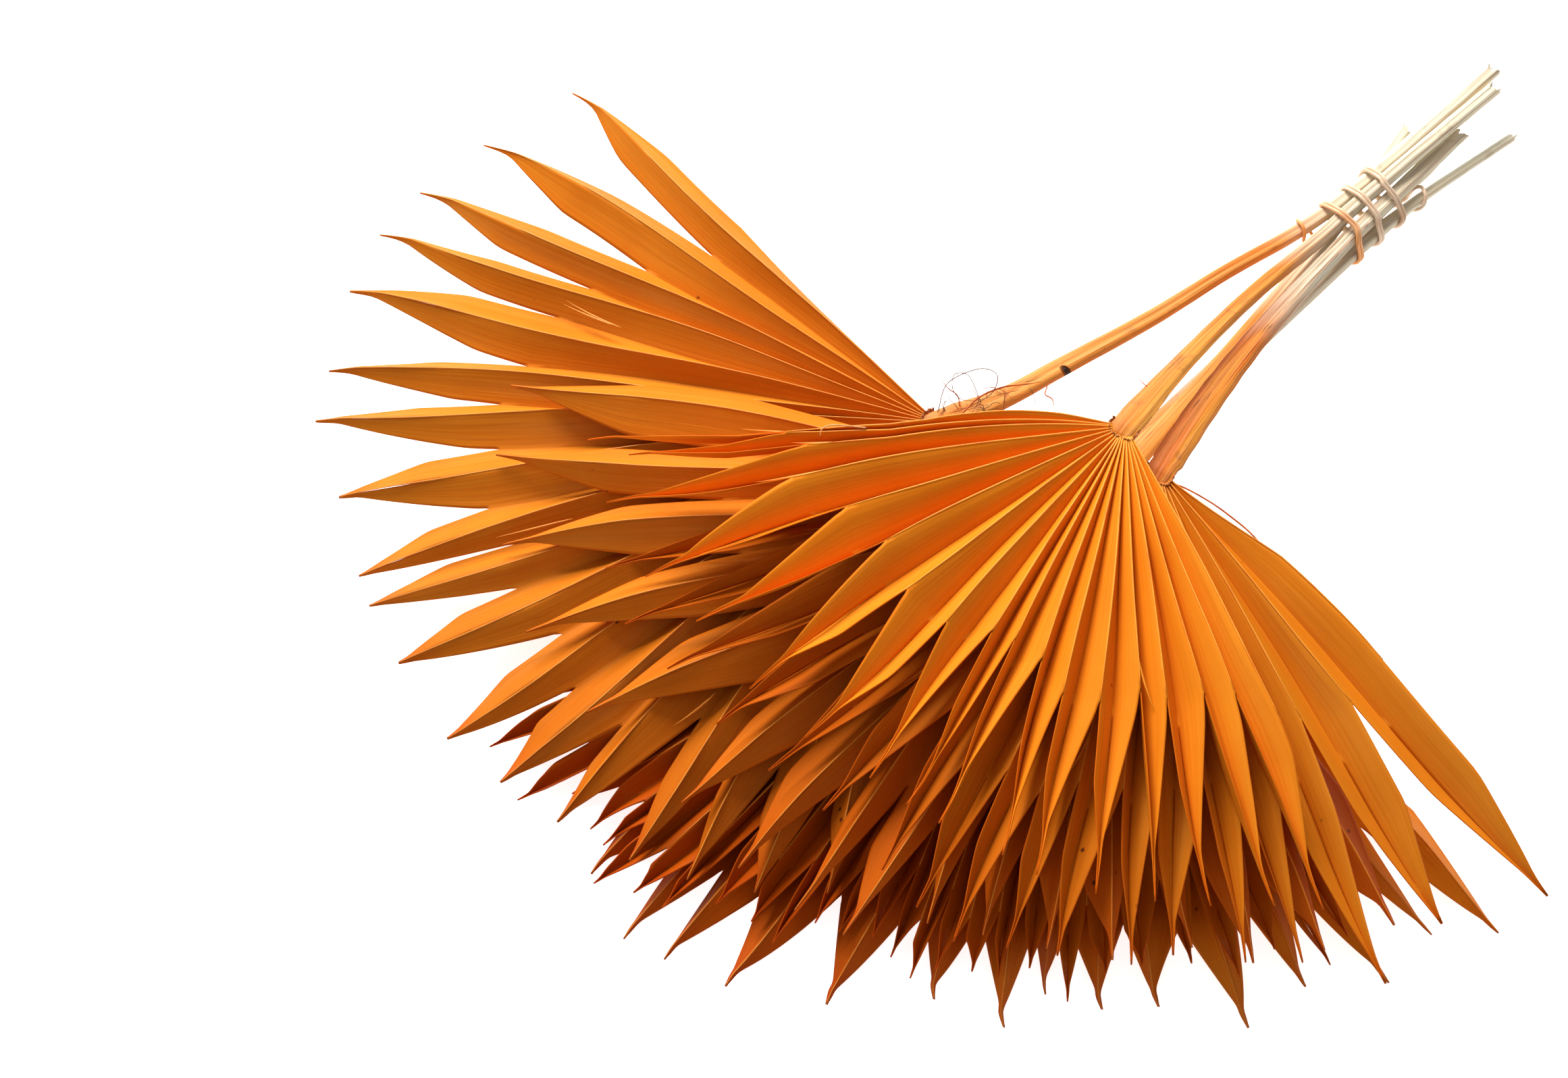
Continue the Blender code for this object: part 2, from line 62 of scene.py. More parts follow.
# Each leaf. hub: from the tie in plan (mm). turns: each segment's direction (degrees).
# reach: each segment's length (mm). count: how many segments, where the figures are drawn
# out to more. These run from the fan's start to its end: joined, the share of the reach
# that is joined to the neighbours; corner, the share of the free part that keeps its width;
# needle, where a thin tip takes over; lean, the rib's place between its two edges; curl,
# how far a tip turns (degrees). pleat: depth (mm). rib: +1 with the ribs in the valleys,
# -1 on the ridges. dye: how the leaf took the dye, as gains on the dye colour; on the two
# lowest leaves the darker figures also stand in part for painted shade. shade: painted
# shadow, darker where the blade lies under the leaves above, as a direction in plan, two
# distances along it (m) and a share. first_edge, last_edge: how far the fan's outer edges
# swell, as distances from the hub (mm) and degrees. bend: the same for the fan's first folds,
# fading out over some degrees. first: the outer edge's place, as a share of a segment.
# slivers: loose splinters. bark: how rough its stalk is. knot: the place of a scar on the
# stalk (mm from the tie).
# stalk: x, y from the tie, height, width, thickness (mm).
LEAVES = {
    "leaf_front": dict(
        layer=5, hub=(3, -168), pleat=4.9, rib=1, dye=(1.20, 1.17, 0.85), seed=11, bark=0.6,
        first=0.06, slivers=9, grey=0.25, first_edge=((0, 26, 42, 60, 80), (-6, -6, -4.2, -2, 0)),
        bend=((20, 60, 95, 160, 218), (-3, 0.5, 3.2, 3, 0.4), 10),
        turns=(219, 220.8, 228, 237, 246, 256, 266, 275, 281, 286, 293, 299, 306, 312, 318, 324,
               329),
        reach=(217, 200, 210, 201, 189, 185, 182, 179, 181, 182, 186, 191, 195, 198, 201, 206,
               212),
        joined=(0.66, 0.61, 0.64), corner=(0.12, 0.06, 0.2), needle=(0.86, 0.76, 0.86),
        lean=(0.80, 0.74, 0.40, 0.20, 0.20), curl=(0.6, -0.4, 0.4),
        stalk=((3, -168, 68.6, 12.5, 4.2), (-1, -126, 58.5, 8.5, 4.8), (-3.5, -73, 45.5, 7.2, 5.4),
               (-2.4, -22, 33, 6.6, 6), (-2, 0, 30, 6.4, 6.2), (1.5, 45, 27.5, 6.2, 6.2),
               (5.7, 95, 24, 6.6, 6.2)),
    ),
    "leaf_right": dict(
        layer=4, hub=(23, -169), pleat=4.6, rib=1, dye=(0.98, 0.98, 0.8), seed=12, bark=1.0,
        last_edge=((0, 30, 47, 60, 85, 118, 160), (2, 5, 6.4, 7, 4.4, 1.2, 0)), slivers=7,
        shade=(-0.35, -0.94, 0.06, 0.15, 0.85),
        turns=(229, 235, 243, 251, 259, 267, 275, 281, 287, 292, 298, 304.5, 311, 317, 323, 330.5,
               339, 349),
        reach=(226, 223, 213, 206, 200, 196, 200, 206, 212, 207, 206, 205, 201, 205, 209, 226,
               214, 227),
        joined=(0.62, 0.72, 0.56), corner=(0.2, 0.05, 0.5), needle=(0.9, 0.84, 0.98),
        lean=(0.6, 0.4, 0.4), curl=(0.3, 0, 0),
        stalk=((23, -169, 56.2, 13, 4.8), (15, -126, 48.5, 11.5, 5), (9.7, -85, 41, 9.5, 6),
               (5.6, -14, 28.8, 7.4, 7), (6, 0, 27.6, 7.2, 7), (6.3, 32, 23, 7, 6.8),
               (6.5, 70, 18, 7.4, 7)),
    ),
    "leaf_middle": dict(
        layer=3, hub=(10, -190), pleat=4.6, rib=-1, dye=(1.0, 0.93, 0.9), seed=13, bark=0.4,
        first=0.62, slivers=3, shade=(0.656, -0.755, 0.07, 0.19, 0.9),
        turns=(205, 214, 223, 233, 244, 257, 267, 274, 282, 288, 296, 303, 310, 319, 327, 334, 342),
        reach=(250, 249, 243, 237, 223, 209, 210, 209, 208, 190, 188, 189, 192, 190, 200, 205, 208),
        joined=(0.62, 0.68, 0.72), corner=(0.50, 0.1, 0.1), needle=(0.93, 0.88, 0.88),
        lean=(0.45, 0.5, 0.45), curl=(0, 0, 0),
        stalk=((10, -190, 43.7, 13, 4.2), (8, -165, 42.5, 9.5, 4.6), (4.5, -110, 35, 7.5, 5.4),
               (-1.5, -40, 24.6, 6.6, 6), (-5, 0, 20.2, 6.4, 6.2), (-9, 30, 18, 6.2, 6),
               (-13, 57, 16, 6.4, 5.6)),
    ),
    "leaf_left": dict(
        layer=2, hub=(-68, -198.5), pleat=4.2, rib=-1, dye=(0.95, 0.95, 1.0), seed=14, bark=0.4,
        slivers=4, knot=(-42.7, -144.5), shade=(0.656, -0.755, 0.04, 0.20, 0.85),
        turns=(175, 184, 192, 198, 205.5, 213, 218, 226, 234, 240, 246, 255, 262, 269, 277, 284,
               291, 298),
        reach=(232, 244, 254, 259, 261, 259, 261, 250, 246, 245, 242, 240, 234, 230, 226, 222,
               216, 210),
        joined=(0.56, 0.78, 0.74), corner=(0.62, 0.04, 0.1), needle=(0.93, 0.99, 0.9),
        lean=(0.40, 0.45, 0.4), curl=(1.2, 0, 0),
        stalk=((-68, -198.5, 31, 14, 4.4), (-55.5, -172.6, 31, 9.6, 4.8), (-46, -143, 31, 8.4, 5),
               (-32.5, -100, 31, 7.4, 5.4), (-23, -60, 29.8, 6.6, 5.7), (-13.5, -25, 28, 6.2, 6),
               (-9, 0, 27, 6, 6), (-4.5, 50, 24.5, 6.2, 6), (-1, 104, 22, 7, 6.6)),
    ),
    "leaf_low": dict(
        # The darker dye figures of this low leaf stand in part for painted shade.
        layer=1, hub=(-4, -182), pleat=4.0, rib=1, dye=(0.92, 0.80, 0.45), seed=15, bark=0.3,
        count=31, shade=(-1, 0, -0.20, -0.09, 1.0),
        turns=(240, 246, 253, 260, 267, 276, 283, 290, 297, 305, 316, 328, 338),
        reach=(248, 258, 256, 254, 244, 226, 222, 216, 214, 212, 210, 211, 220),
        joined=(0.88, 0.88, 0.86), corner=(0, 0, 0), needle=(0.9, 0.9, 0.9),
        lean=(0.4, 0.4, 0.4), curl=(0, 0, 0),
        stalk=((-4, -182, 18.7, 12, 4), (-1, -150, 19.5, 8.5, 4.8), (5, -78, 21, 7.4, 6),
               (8.5, -19, 20.6, 7, 6.4), (10.2, 0, 20.2, 6.4, 6), (13.6, 32, 17, 4.8, 4.6),
               (22.5, 90, 8, 4, 3.8)),
    ),
    "leaf_under": dict(
        # The darker dye figures of this lowest leaf stand in part for painted shade.
        layer=0, hub=(-10, -174), pleat=4.8, rib=-1, dye=(0.92, 0.84, 0.5), seed=16, bark=0.3,
        shade=(-1, 0, -0.20, -0.09, 1.0),
        turns=(240, 247, 254, 261, 267, 272, 277.5, 287, 294, 301, 306, 311, 317, 324, 331, 338,
               344, 350),
        reach=(232, 240, 250, 262, 271, 267, 262, 249, 232, 237, 222, 227, 227, 241, 232, 244,
               236, 251),
        joined=(0.84, 0.84, 0.82), corner=(0, 0, 0), needle=(0.86, 0.86, 0.88),
        lean=(0.5, 0.5, 0.5), curl=(0, 0.5, 0),
        stalk=((-10, -174, 6.2, 12, 4), (-7, -150, 8, 8.5, 5), (-1.5, -80, 14, 7.2, 5.8),
               (2, -26, 18.2, 6.2, 6), (3, 0, 18.8, 6, 6), (3, 28, 12, 6, 6),
               (2.6, 52, 3.6, 6.2, 6.2), (2, 67, 2.6, 6.4, 6.4)),
    ),
}

HUB_RADIUS = 5.0 * MM
FULL_RADIUS = 105 * MM     # pleats reach their full depth at this radius
ACROSS = (0.0, 0.10, 0.28, 0.50, 0.72, 0.89, 1.0)
WEB_ROWS, SPEAR_ROWS = 30, 26
CREST_LIP = 0.42 * MM      # radius of the rounded lip along a fold's crest

LOWEST = 0.2 * MM          # nothing of a stalk comes nearer the floor
RIM_LOWEST = 0.3 * MM
STALK_ROWS, STALK_SIDES = 110, 28
HEAD_WIDTH = 11.5          # a stalk's greatest width at its head (mm)
SLIVER_RADIUS = 0.48 * MM
KNOT_TURN = math.radians(-73)
KNOT_HALF = (0.0042, 0.0019)   # the scar's half length and half width (m)

# The band, in mm like the leaves' own figures.
BAND_GAP = 0.6             # between a strand and the stalks
STRAND_APART = 0.84        # half the distance between the two strands
BAND_START, BAND_END = -17, 28     # along the stalks from the tie
FACINGS = range(-130, 1034, 3)     # ways that the winding faces, in turn (degrees)

# The camera looks at TARGET from this side; the distance is for a lens of 80 mm.
AZIMUTH, ELEVATION = math.radians(41), math.radians(62)
TARGET = Vector((-0.0446, -0.1107, 0.03))
DISTANCE, DISTANCE_LENS = 1.419, 80
SENSOR = 36.0
KEY_PLACE, KEY_AIM, KEY_SIZE = (-1.226, 0.724, 1.10), (0, -0.08, 0), 0.9
FLOOR_HALF, FLOOR_DROP = 4.0, -0.0004


# ---------------------------------------------------------------- settings


class BunchSettings(bpy.types.PropertyGroup):
    """What a user would change about the bunch."""

    dye: bpy.props.FloatVectorProperty(
        name="Dye", description="Colour of the dyed blades", subtype="COLOR", size=3,
        min=0.0, max=1.0, default=(0.65, 0.178, 0.0075))
    straw: bpy.props.FloatVectorProperty(
        name="Straw", description="Colour of the stalks past the reach of the dye",
        subtype="COLOR", size=3, min=0.0, max=1.0, default=(0.70, 0.67, 0.52))
    rubber: bpy.props.FloatVectorProperty(
        name="Rubber", description="Colour of the rubber band", subtype="COLOR", size=3,
        min=0.0, max=1.0, default=(0.82, 0.63, 0.46))
    blade_thickness: bpy.props.FloatProperty(
        name="Blade thickness", description="Thickness of a blade", unit="LENGTH",
        min=0.0002, max=0.0008, default=0.00042)
    strand: bpy.props.FloatProperty(
        name="Band strand", description="Radius of the rubber band's strand", unit="LENGTH",
        min=0.0004, max=0.0009, default=0.00078)
    fibres: bpy.props.IntProperty(
        name="Fibres", description="Loose fibres at the left leaf's hub", min=0, max=60,
        default=22)


class StageSettings(bpy.types.PropertyGroup):
    """What a user would change about the studio."""

    floor: bpy.props.FloatVectorProperty(
        name="Floor", description="Colour of the floor", subtype="COLOR", size=3,
        min=0.0, max=1.0, default=(0.92, 0.92, 0.92))
    key: bpy.props.FloatProperty(
        name="Key light", description="Power of the main light (W)", min=0.0, max=500.0,
        default=66.0)
    sky: bpy.props.FloatProperty(
        name="Sky", description="Strength of the even light from all round", min=0.0,
        max=3.0, default=0.40)
    lens: bpy.props.FloatProperty(
        name="Lens", description="The camera's focal length (mm)", min=30.0, max=200.0,
        default=80.0)


# ---------------------------------------------------------------- materials


class Nodes:
    """A short way to write a node material."""

    def __init__(self, name):
        self.mat = bpy.data.materials.new(name)
        self.mat.use_nodes = True
        self.tree = self.mat.node_tree
        self.shader = self.tree.nodes["Principled BSDF"]

    def add(self, kind, **settings):
        node = self.tree.nodes.new(kind)
        for key, value in settings.items():
            setattr(node, key, value)
        return node

    def set(self, socket, value):
        if isinstance(value, bpy.types.NodeSocket):
            self.tree.links.new(value, socket)
        else:
            socket.default_value = value

    def uv(self, name):
        return self.add("ShaderNodeUVMap", uv_map=name).outputs["UV"]

    def place(self):
        return self.add("ShaderNodeTexCoord").outputs["Object"]

    def part(self, vector, axis):
        split = self.add("ShaderNodeSeparateXYZ")
        self.set(split.inputs[0], vector)
        return split.outputs[axis]

    def scaled(self, vector, scale):
        node = self.add("ShaderNodeMapping")
        self.set(node.inputs["Vector"], vector)
        node.inputs["Scale"].default_value = scale
        return node.outputs[0]

    def noise(self, vector, scale, detail=3.0, rough=0.55):
        node = self.add("ShaderNodeTexNoise")
        self.set(node.inputs["Vector"], vector)
        node.inputs["Scale"].default_value = scale
        node.inputs["Detail"].default_value = detail
        node.inputs["Roughness"].default_value = rough
        return node.outputs["Fac"]

    def ramp(self, value, *stops):
        """Stops are (place, grey or colour)."""
        node = self.add("ShaderNodeValToRGB")
        bar = node.color_ramp
        while len(bar.elements) < len(stops):
            bar.elements.new(0.5)
        for element, (at, shade) in zip(bar.elements, stops):
            element.position = at
            grey = isinstance(shade, (int, float))
            element.color = (shade, shade, shade, 1) if grey else (*shade, 1)
        self.set(node.inputs[0], value)
        return node.outputs[0]

    def mix(self, share, a, b, blend="MIX"):
        node = self.add("ShaderNodeMix", data_type="RGBA", blend_type=blend)
        self.set(node.inputs[0], share)
        for socket, value in ((node.inputs[6], a), (node.inputs[7], b)):
            self.set(socket, value if isinstance(value, bpy.types.NodeSocket) else (*value, 1))
        return node.outputs[2]

    def sum(self, kind, a, b, clamp=False):
        node = self.add("ShaderNodeMath", operation=kind, use_clamp=clamp)
        self.set(node.inputs[0], a)
        self.set(node.inputs[1], b)
        return node.outputs[0]

    def bump(self, height, strength, distance, under=None):
        node = self.add("ShaderNodeBump")
        node.inputs["Strength"].default_value = strength
        node.inputs["Distance"].default_value = distance
        self.set(node.inputs["Height"], height)
        if under:
            self.set(node.inputs["Normal"], under)
        return node.outputs[0]

    def finish(self, colour, roughness, normal=None, **plain):
        self.set(self.shader.inputs["Base Color"], colour)
        self.set(self.shader.inputs["Roughness"], roughness)
        if normal:
            self.set(self.shader.inputs["Normal"], normal)
        for key, value in plain.items():
            self.shader.inputs[key.replace("_", " ")].default_value = value
        return self.mat


def tinted(colour, *gains):
    return tuple(min(1.0, c * g) for c, g in zip(colour, gains))


def leaf_material(name, dye, spec, rim=False):
    """Dyed lamina: fine veins along each segment, blotches of dye, redder free edges and tips, and
    painted shadow where the spec gives a shade.
    """
    n = Nodes(name)
    grain, place, spot = n.uv("grain"), n.uv("place"), n.place()
    base = tinted(dye, *spec["dye"])
    dark = tinted(base, 0.80, 0.68, 0.5)
    pale = tinted(base, 1.06, 1.30, 2.4)
    grey = tinted(base, 0.92, 1.24, 5.0)
    red = tinted(base, 0.86, 0.50, 0.4)
    free = spec["joined"][1]

    veins = n.noise(n.scaled(grain, (95, 0.9, 1)), 1.0, 2.0, 0.7)
    bands = n.noise(n.scaled(grain, (16, 0.35, 1)), 1.0, 2.0, 0.5)
    broad = n.noise(n.scaled(grain, (6.5, 0.5, 1)), 1.0, 2.0, 0.5)
    blotch = n.noise(spot, 22.0, 3.0, 0.6)
    wide = n.noise(spot, 6.5, 2.0, 0.5)

    colour = n.mix(n.ramp(bands, (0.34, 0), (0.68, 0.62)), base, pale)
    colour = n.mix(n.ramp(broad, (0.52, 0), (0.72, spec.get("grey", 0.55))), colour, grey)
    colour = n.mix(n.ramp(blotch, (0.40, 0), (0.78, 0.55)), colour, dark)
    colour = n.mix(n.ramp(wide, (0.35, 0), (0.72, 0.38)), colour, pale)
    colour = n.mix(n.ramp(veins, (0.40, 0), (0.70, 0.42)), colour, dark)
    across, along = n.part(place, 0), n.part(place, 1)
    beyond = n.ramp(along, (free - 0.03, 0), (free + 0.05, 1))
    edge = n.sum("MULTIPLY", n.ramp(across, (0.93, 0), (0.99, 0.4)), beyond)
    colour = n.mix(edge, colour, red)
    colour = n.mix(n.ramp(along, (0.92, 0), (1.0, 0.8)), colour, red)
    # Painted light on the rib line: darker where it lies in a valley (painted shade), paler where
    # it runs on a ridge (painted highlight).
    rib = n.ramp(across, (0.0, 0.55), (0.05, 0))
    colour = n.mix(rib, colour, dark if spec["rib"] > 0 else pale)
    # Painted shadow: the colour darkened and reddened along a direction in plan, where the leaf
    # lies under the leaves above.
    if "shade" in spec:
        ahead, aside, start, end, share = spec["shade"]
        far = n.sum("ADD", n.sum("MULTIPLY", n.part(spot, 0), ahead),
                    n.sum("MULTIPLY", n.part(spot, 1), aside))
        far = n.sum("ADD", far, n.sum("MULTIPLY", n.sum("SUBTRACT", wide, 0.5), 0.12))
        past = n.sum("DIVIDE", n.sum("SUBTRACT", far, start), end - start, True)
        painted_shadow_share = n.sum("MULTIPLY", past, share)
        colour = n.mix(painted_shadow_share, colour, n.mix(1.0, colour, (0.70, 0.43, 0.20), "MULTIPLY"))
    # Small brown marks, sparse and uneven.
    cells = n.add("ShaderNodeTexVoronoi")
    n.set(cells.inputs["Vector"], spot)
    cells.inputs["Scale"].default_value = 85.0
    mark = n.ramp(cells.outputs["Distance"], (0.05, 1), (0.11, 0))
    rare = n.ramp(n.noise(spot, 31.0, 1.0), (0.60, 0), (0.65, 1))
    colour = n.mix(n.sum("MULTIPLY", mark, rare), colour, (0.10, 0.022, 0.006))
    if rim:
        colour = n.mix(0.65, colour, red)

    normal = n.bump(veins, 0.35, 0.00025)
    normal = n.bump(n.noise(n.scaled(grain, (40, 1.4, 1)), 1.0, 2.0), 0.35, 0.0006, normal)
    normal = n.bump(blotch, 0.10, 0.0015, normal)
    rough = n.ramp(veins, (0.3, 0.50), (0.75, 0.66))
    return n.finish(colour, rough, normal, Specular_IOR_Level=0.05)


def fold_material(name, dye, spec):
    """The lip along a fold: paler and brighter than the lamina as a painted highlight along the
    crest, with redder stretches.
    """
    n = Nodes(name)
    base = tinted(dye, *spec["dye"])
    patch = n.noise(n.place(), 60.0, 3.0, 0.6)
    # The paler tone is a painted highlight on the crest.
    bright = tinted(base, 1.16, 1.50, 3.2)
    deep = tinted(base, 0.96, 0.80, 0.7)
    colour = n.mix(n.ramp(patch, (0.50, 0), (0.74, 0.85)), bright, deep)
    return n.finish(colour, 0.5, n.bump(patch, 0.3, 0.0002), Specular_IOR_Level=0.3)


def stalk_material(name, dye, straw, dyed_to, reach, bark, knot=None):
    """A stalk: dye at the leaf, fading past dyed_to to bare straw, with long fibres."""
    n = Nodes(name)
    grain, spot = n.uv("grain"), n.place()
    y = n.part(spot, 1)
    fibres = n.noise(n.scaled(grain, (60, 1.0, 1)), 1.0, 3.0, 0.65)
    streaks = n.noise(n.scaled(grain, (16, 0.5, 1)), 1.0, 3.0, 0.6)
    wander = n.sum("MULTIPLY", n.sum("SUBTRACT", streaks, 0.5), 0.09)
    fade = n.sum("DIVIDE", n.sum("SUBTRACT", n.sum("ADD", y, wander), dyed_to), reach, True)
    bright = tinted(dye, 1.14, 1.75, 9.0 - 6.0 * bark)
    tan = (0.62, 0.40, 0.20)
    rich = tinted(dye, 1.02, 1.12 - 0.3 * bark, 1.4)
    low = 0.46 - 0.13 * bark
    dyed = n.mix(n.ramp(streaks, (low, 0), (low + 0.16, 0.95)), bright, rich)
    bare = n.mix(n.ramp(streaks, (0.36, 0), (0.66, 0.55)), straw, tan)
    colour = n.mix(n.ramp(fade, (0.0, 0), (0.45, 0.55), (1.0, 1.0)), dyed, bare)
    colour = n.mix(n.ramp(fibres, (0.50 - 0.05 * bark, 0), (0.68, 0.35 + 0.45 * bark)), colour,
                   (0.30, 0.09, 0.015))
    flecks = n.noise(n.scaled(grain, (34, 3.2, 1)), 1.0, 4.0, 0.7)
    colour = n.mix(n.ramp(flecks, (0.60, 0), (0.70, 0.30 + 0.60 * bark)), colour,
                   (0.13, 0.035, 0.01))
    colour = n.mix(n.ramp(n.noise(spot, 55.0, 4.0), (0.62, 0), (0.72, 0.5)), colour,
                   (0.2, 0.06, 0.02))
    normal = n.bump(fibres, 0.5 + 0.5 * bark, 0.0005 + 0.0006 * bark)
    if knot:
        # An oval scar, dark in the middle with a brown rim.
        apart = n.add("ShaderNodeVectorMath", operation="SUBTRACT")
        n.set(apart.inputs[0], spot)
        apart.inputs[1].default_value = placed(*knot, 0.0)
        turned = n.add("ShaderNodeMapping")
        n.set(turned.inputs["Vector"], apart.outputs[0])
        turned.inputs["Rotation"].default_value = (0, 0, KNOT_TURN)
        turned.inputs["Scale"].default_value = (1 / KNOT_HALF[0], 1 / KNOT_HALF[1], 0)
        far = n.add("ShaderNodeVectorMath", operation="LENGTH")
        n.set(far.inputs[0], turned.outputs[0])
        hole = far.outputs["Value"]
        colour = n.mix(n.ramp(hole, (0.80, 0.85), (1.0, 0)), colour, (0.22, 0.065, 0.02))
        colour = n.mix(n.ramp(hole, (0.40, 0.95), (0.62, 0)), colour, (0.012, 0.005, 0.003))
        normal = n.bump(n.ramp(hole, (0.45, 0), (0.75, 1), (1.0, 0.5)), 1.0, 0.0012, normal)
    normal = n.bump(streaks, 0.45 + 0.3 * bark, 0.0011 + 0.0008 * bark, normal)
    rough = n.ramp(fibres, (0.3, 0.48), (0.7, 0.68))
    return n.finish(colour, rough, normal, Specular_IOR_Level=0.3)


def plain_material(name, light, dark, scale, roughness):
    """Two tones in small blotches, for fibres and torn rims."""
    n = Nodes(name)
    blotch = n.noise(n.place(), scale, 3.0, 0.6)
    colour = n.mix(n.ramp(blotch, (0.38, 0), (0.62, 1)), light, dark)
    return n.finish(colour, roughness, n.bump(blotch, 0.4, 0.0004), Specular_IOR_Level=0.3)


def rubber_material(name, rubber):
    """Tan rubber, stained by the dye where it lies on dyed stalks."""
    n = Nodes(name)
    spot = n.place()
    blotch = n.noise(spot, 120.0, 3.0, 0.6)
    y = n.sum("ADD", n.part(spot, 1), n.sum("MULTIPLY", blotch, 0.006))
    stain = n.sum("DIVIDE", n.sum("SUBTRACT", TIE.y + 0.001, y), 0.011, True)
    colour = n.mix(n.ramp(blotch, (0.36, 0), (0.66, 1)), rubber, tinted(rubber, 0.78, 0.66, 0.55))
    colour = n.mix(stain, colour, (0.80, 0.33, 0.09))
    return n.finish(colour, 0.46, n.bump(blotch, 0.3, 0.0003), Specular_IOR_Level=0.4)


def floor_material(name, colour):
    n = Nodes(name)
    faint = n.noise(n.place(), 9.0, 3.0)
    shade = n.mix(n.ramp(faint, (0.3, 0), (0.7, 1)), colour, tinted(colour, 0.992, 0.992, 0.992))
    return n.finish(shade, 0.85, n.bump(faint, 0.05, 0.001), Specular_IOR_Level=0.15,
                    Emission_Color=(1.0, 1.0, 1.0, 1.0), Emission_Strength=0.8)


# ---------------------------------------------------------------- shared helpers


def placed(x, y, z):
    """A place given from the tie in mm, in metres in the frame."""
    return Vector((TIE.x + x * MM, TIE.y + y * MM, z * MM))


def kept_up(x, y, z, lowest):
    """The same, kept at least so far above the floor."""
    return TIE.x + x * MM, TIE.y + y * MM, max(z * MM, lowest)


def facing_out(mesh, merge=None, smooth=False):
    """Merges points closer than merge, turns the faces outwards and shades them smooth."""
    work = bmesh.new()
    work.from_mesh(mesh)
    if merge:
        bmesh.ops.remove_doubles(work, verts=list(work.verts), dist=merge)
    bmesh.ops.recalc_face_normals(work, faces=list(work.faces))
    for face in work.faces:
        face.smooth = smooth
    work.to_mesh(mesh)
    work.free()


# ---------------------------------------------------------------- blades


def blend(values, place):
    """The value at place 0..1 along evenly spaced values, joined smoothly."""
    last = len(values) - 1
    at = min(max(place, 0.0), 1.0) * last
    i = min(int(at), last - 1)
    t = at - i
    t = t * t * (3 - 2 * t) * 0.4 + t * 0.6
    return values[i] + (values[i + 1] - values[i]) * t


def layer_share(x, y):
    """Height of one layer at a plan position (arrays)."""
    far = np.hypot(x - TIE.x, y - TIE.y)
    beyond = 1 - ((far - CREST_AT) / CREST_FALL) ** 2
    within = 1 - 0.5 * ((far - CREST_AT) / CREST_AT) ** 2
    return LAYER * np.where(far > CREST_AT, beyond, within)


def in_layer(layer, x, y, lift):
    share = layer_share(x, y)
    room = np.maximum(0.5 * share - CLEARANCE, 0.0004)
    held = np.clip(lift, -room, room)
    if layer == TOP_LAYER:
        held = np.where(lift > 0, np.minimum(lift, 2.0 * room), held)
    return (layer + 0.5) * share + held


def drawn_out(values, count):
    """The figures, in even steps over more places."""
    return np.interp(np.linspace(0, len(values) - 1, count), range(len(values)), values)


class Blade:
    """The figures of one fan: where its ribs and edges run, and how deep its pleats are."""

    def __init__(self, spec):
        self.spec = spec
        rng = random.Random(spec["seed"])
        self.hub = TIE.xy + Vector(spec["hub"]) * MM
        self.count = spec.get("count", len(spec["turns"]))
        turns, reach = (drawn_out(spec[key], self.count) for key in ("turns", "reach"))
        uneven = 0.0 if self.count == len(spec["turns"]) else 1.0
        self.curl = [blend(spec["curl"], (i + 0.5) / self.count) for i in range(self.count)]
        self.ribs = [turn - curl + uneven * rng.uniform(-0.5, 0.5)
                     for turn, curl in zip(turns, self.curl)]
        self.reach = [length * MM * (1 + uneven * rng.uniform(-0.05, 0.03)) for length in reach]
        self.step = (self.ribs[-1] - self.ribs[0]) / (self.count - 1)
        self.depth = [spec["pleat"] * MM * rng.uniform(0.82, 1.0) for _ in self.ribs]
        leans = [blend(spec["lean"], j / self.count) for j in range(self.count + 1)]
        self.edges = [self.ribs[0] - spec.get("first", leans[0]) * self.step]
        self.edges += [b - lean * (b - a)
                       for a, b, lean in zip(self.ribs, self.ribs[1:], leans[1:])]
        self.edges += [self.ribs[-1] + (1 - leans[-1]) * self.step]
        self.leans = leans
        self.split = []
        for j in range(self.count + 1):
            shorter = min(self.reach[max(j - 1, 0)], self.reach[min(j, self.count - 1)])
            share = blend(spec["joined"], j / self.count)
            self.split.append(share * shorter * rng.uniform(0.93, 1.05))
        self.wave = [rng.uniform(0, 2 * math.pi) for _ in range(self.count + 1)]
        self.swell = [spec.get("first_edge")] + [None] * (self.count - 1) + [spec.get("last_edge")]

    def line(self, radius, degrees, wave, swell=None):
        """Plan positions along a fold: nearly straight, with a slight waver."""
        waver = 0.09 * self.step * np.sin(radius / 0.034 + wave) * np.clip(radius / 0.09, 0, 1)
        if swell:
            waver = waver + np.interp(radius / MM, *swell)
        if "bend" in self.spec:
            radii, bends, fade = self.spec["bend"]
            share = np.clip(1 - (degrees - self.ribs[0]) / fade, 0, 1)
            waver = waver + share * np.interp(radius / MM, radii, bends)
        turn = np.radians(degrees + waver)
        return np.stack([self.hub.x + radius * np.cos(turn),
                         self.hub.y + radius * np.sin(turn)], -1)


def spear_width(out, corner, needle, power):
    """Half width of a free spear: full, then a long diagonal cut, then a thin needle."""
    shoulder = 1 - 0.08 * np.clip(out / max(corner, 0.02), 0, 1)
    cut = np.clip((needle - out) / (needle - corner), 0, 1) ** power
    cut = cut * (0.92 if corner > 0.02 else 1)
    thin = 0.085 * np.clip((1.0 - out) / max(1 - needle, 0.02), 0.12, 1) ** 0.6
    width = np.where(out < corner, shoulder, np.maximum(cut, thin))
    kernel = np.array([1, 2, 1]) / 4
    return np.convolve(np.pad(width, 1, mode="edge"), kernel, mode="valid")


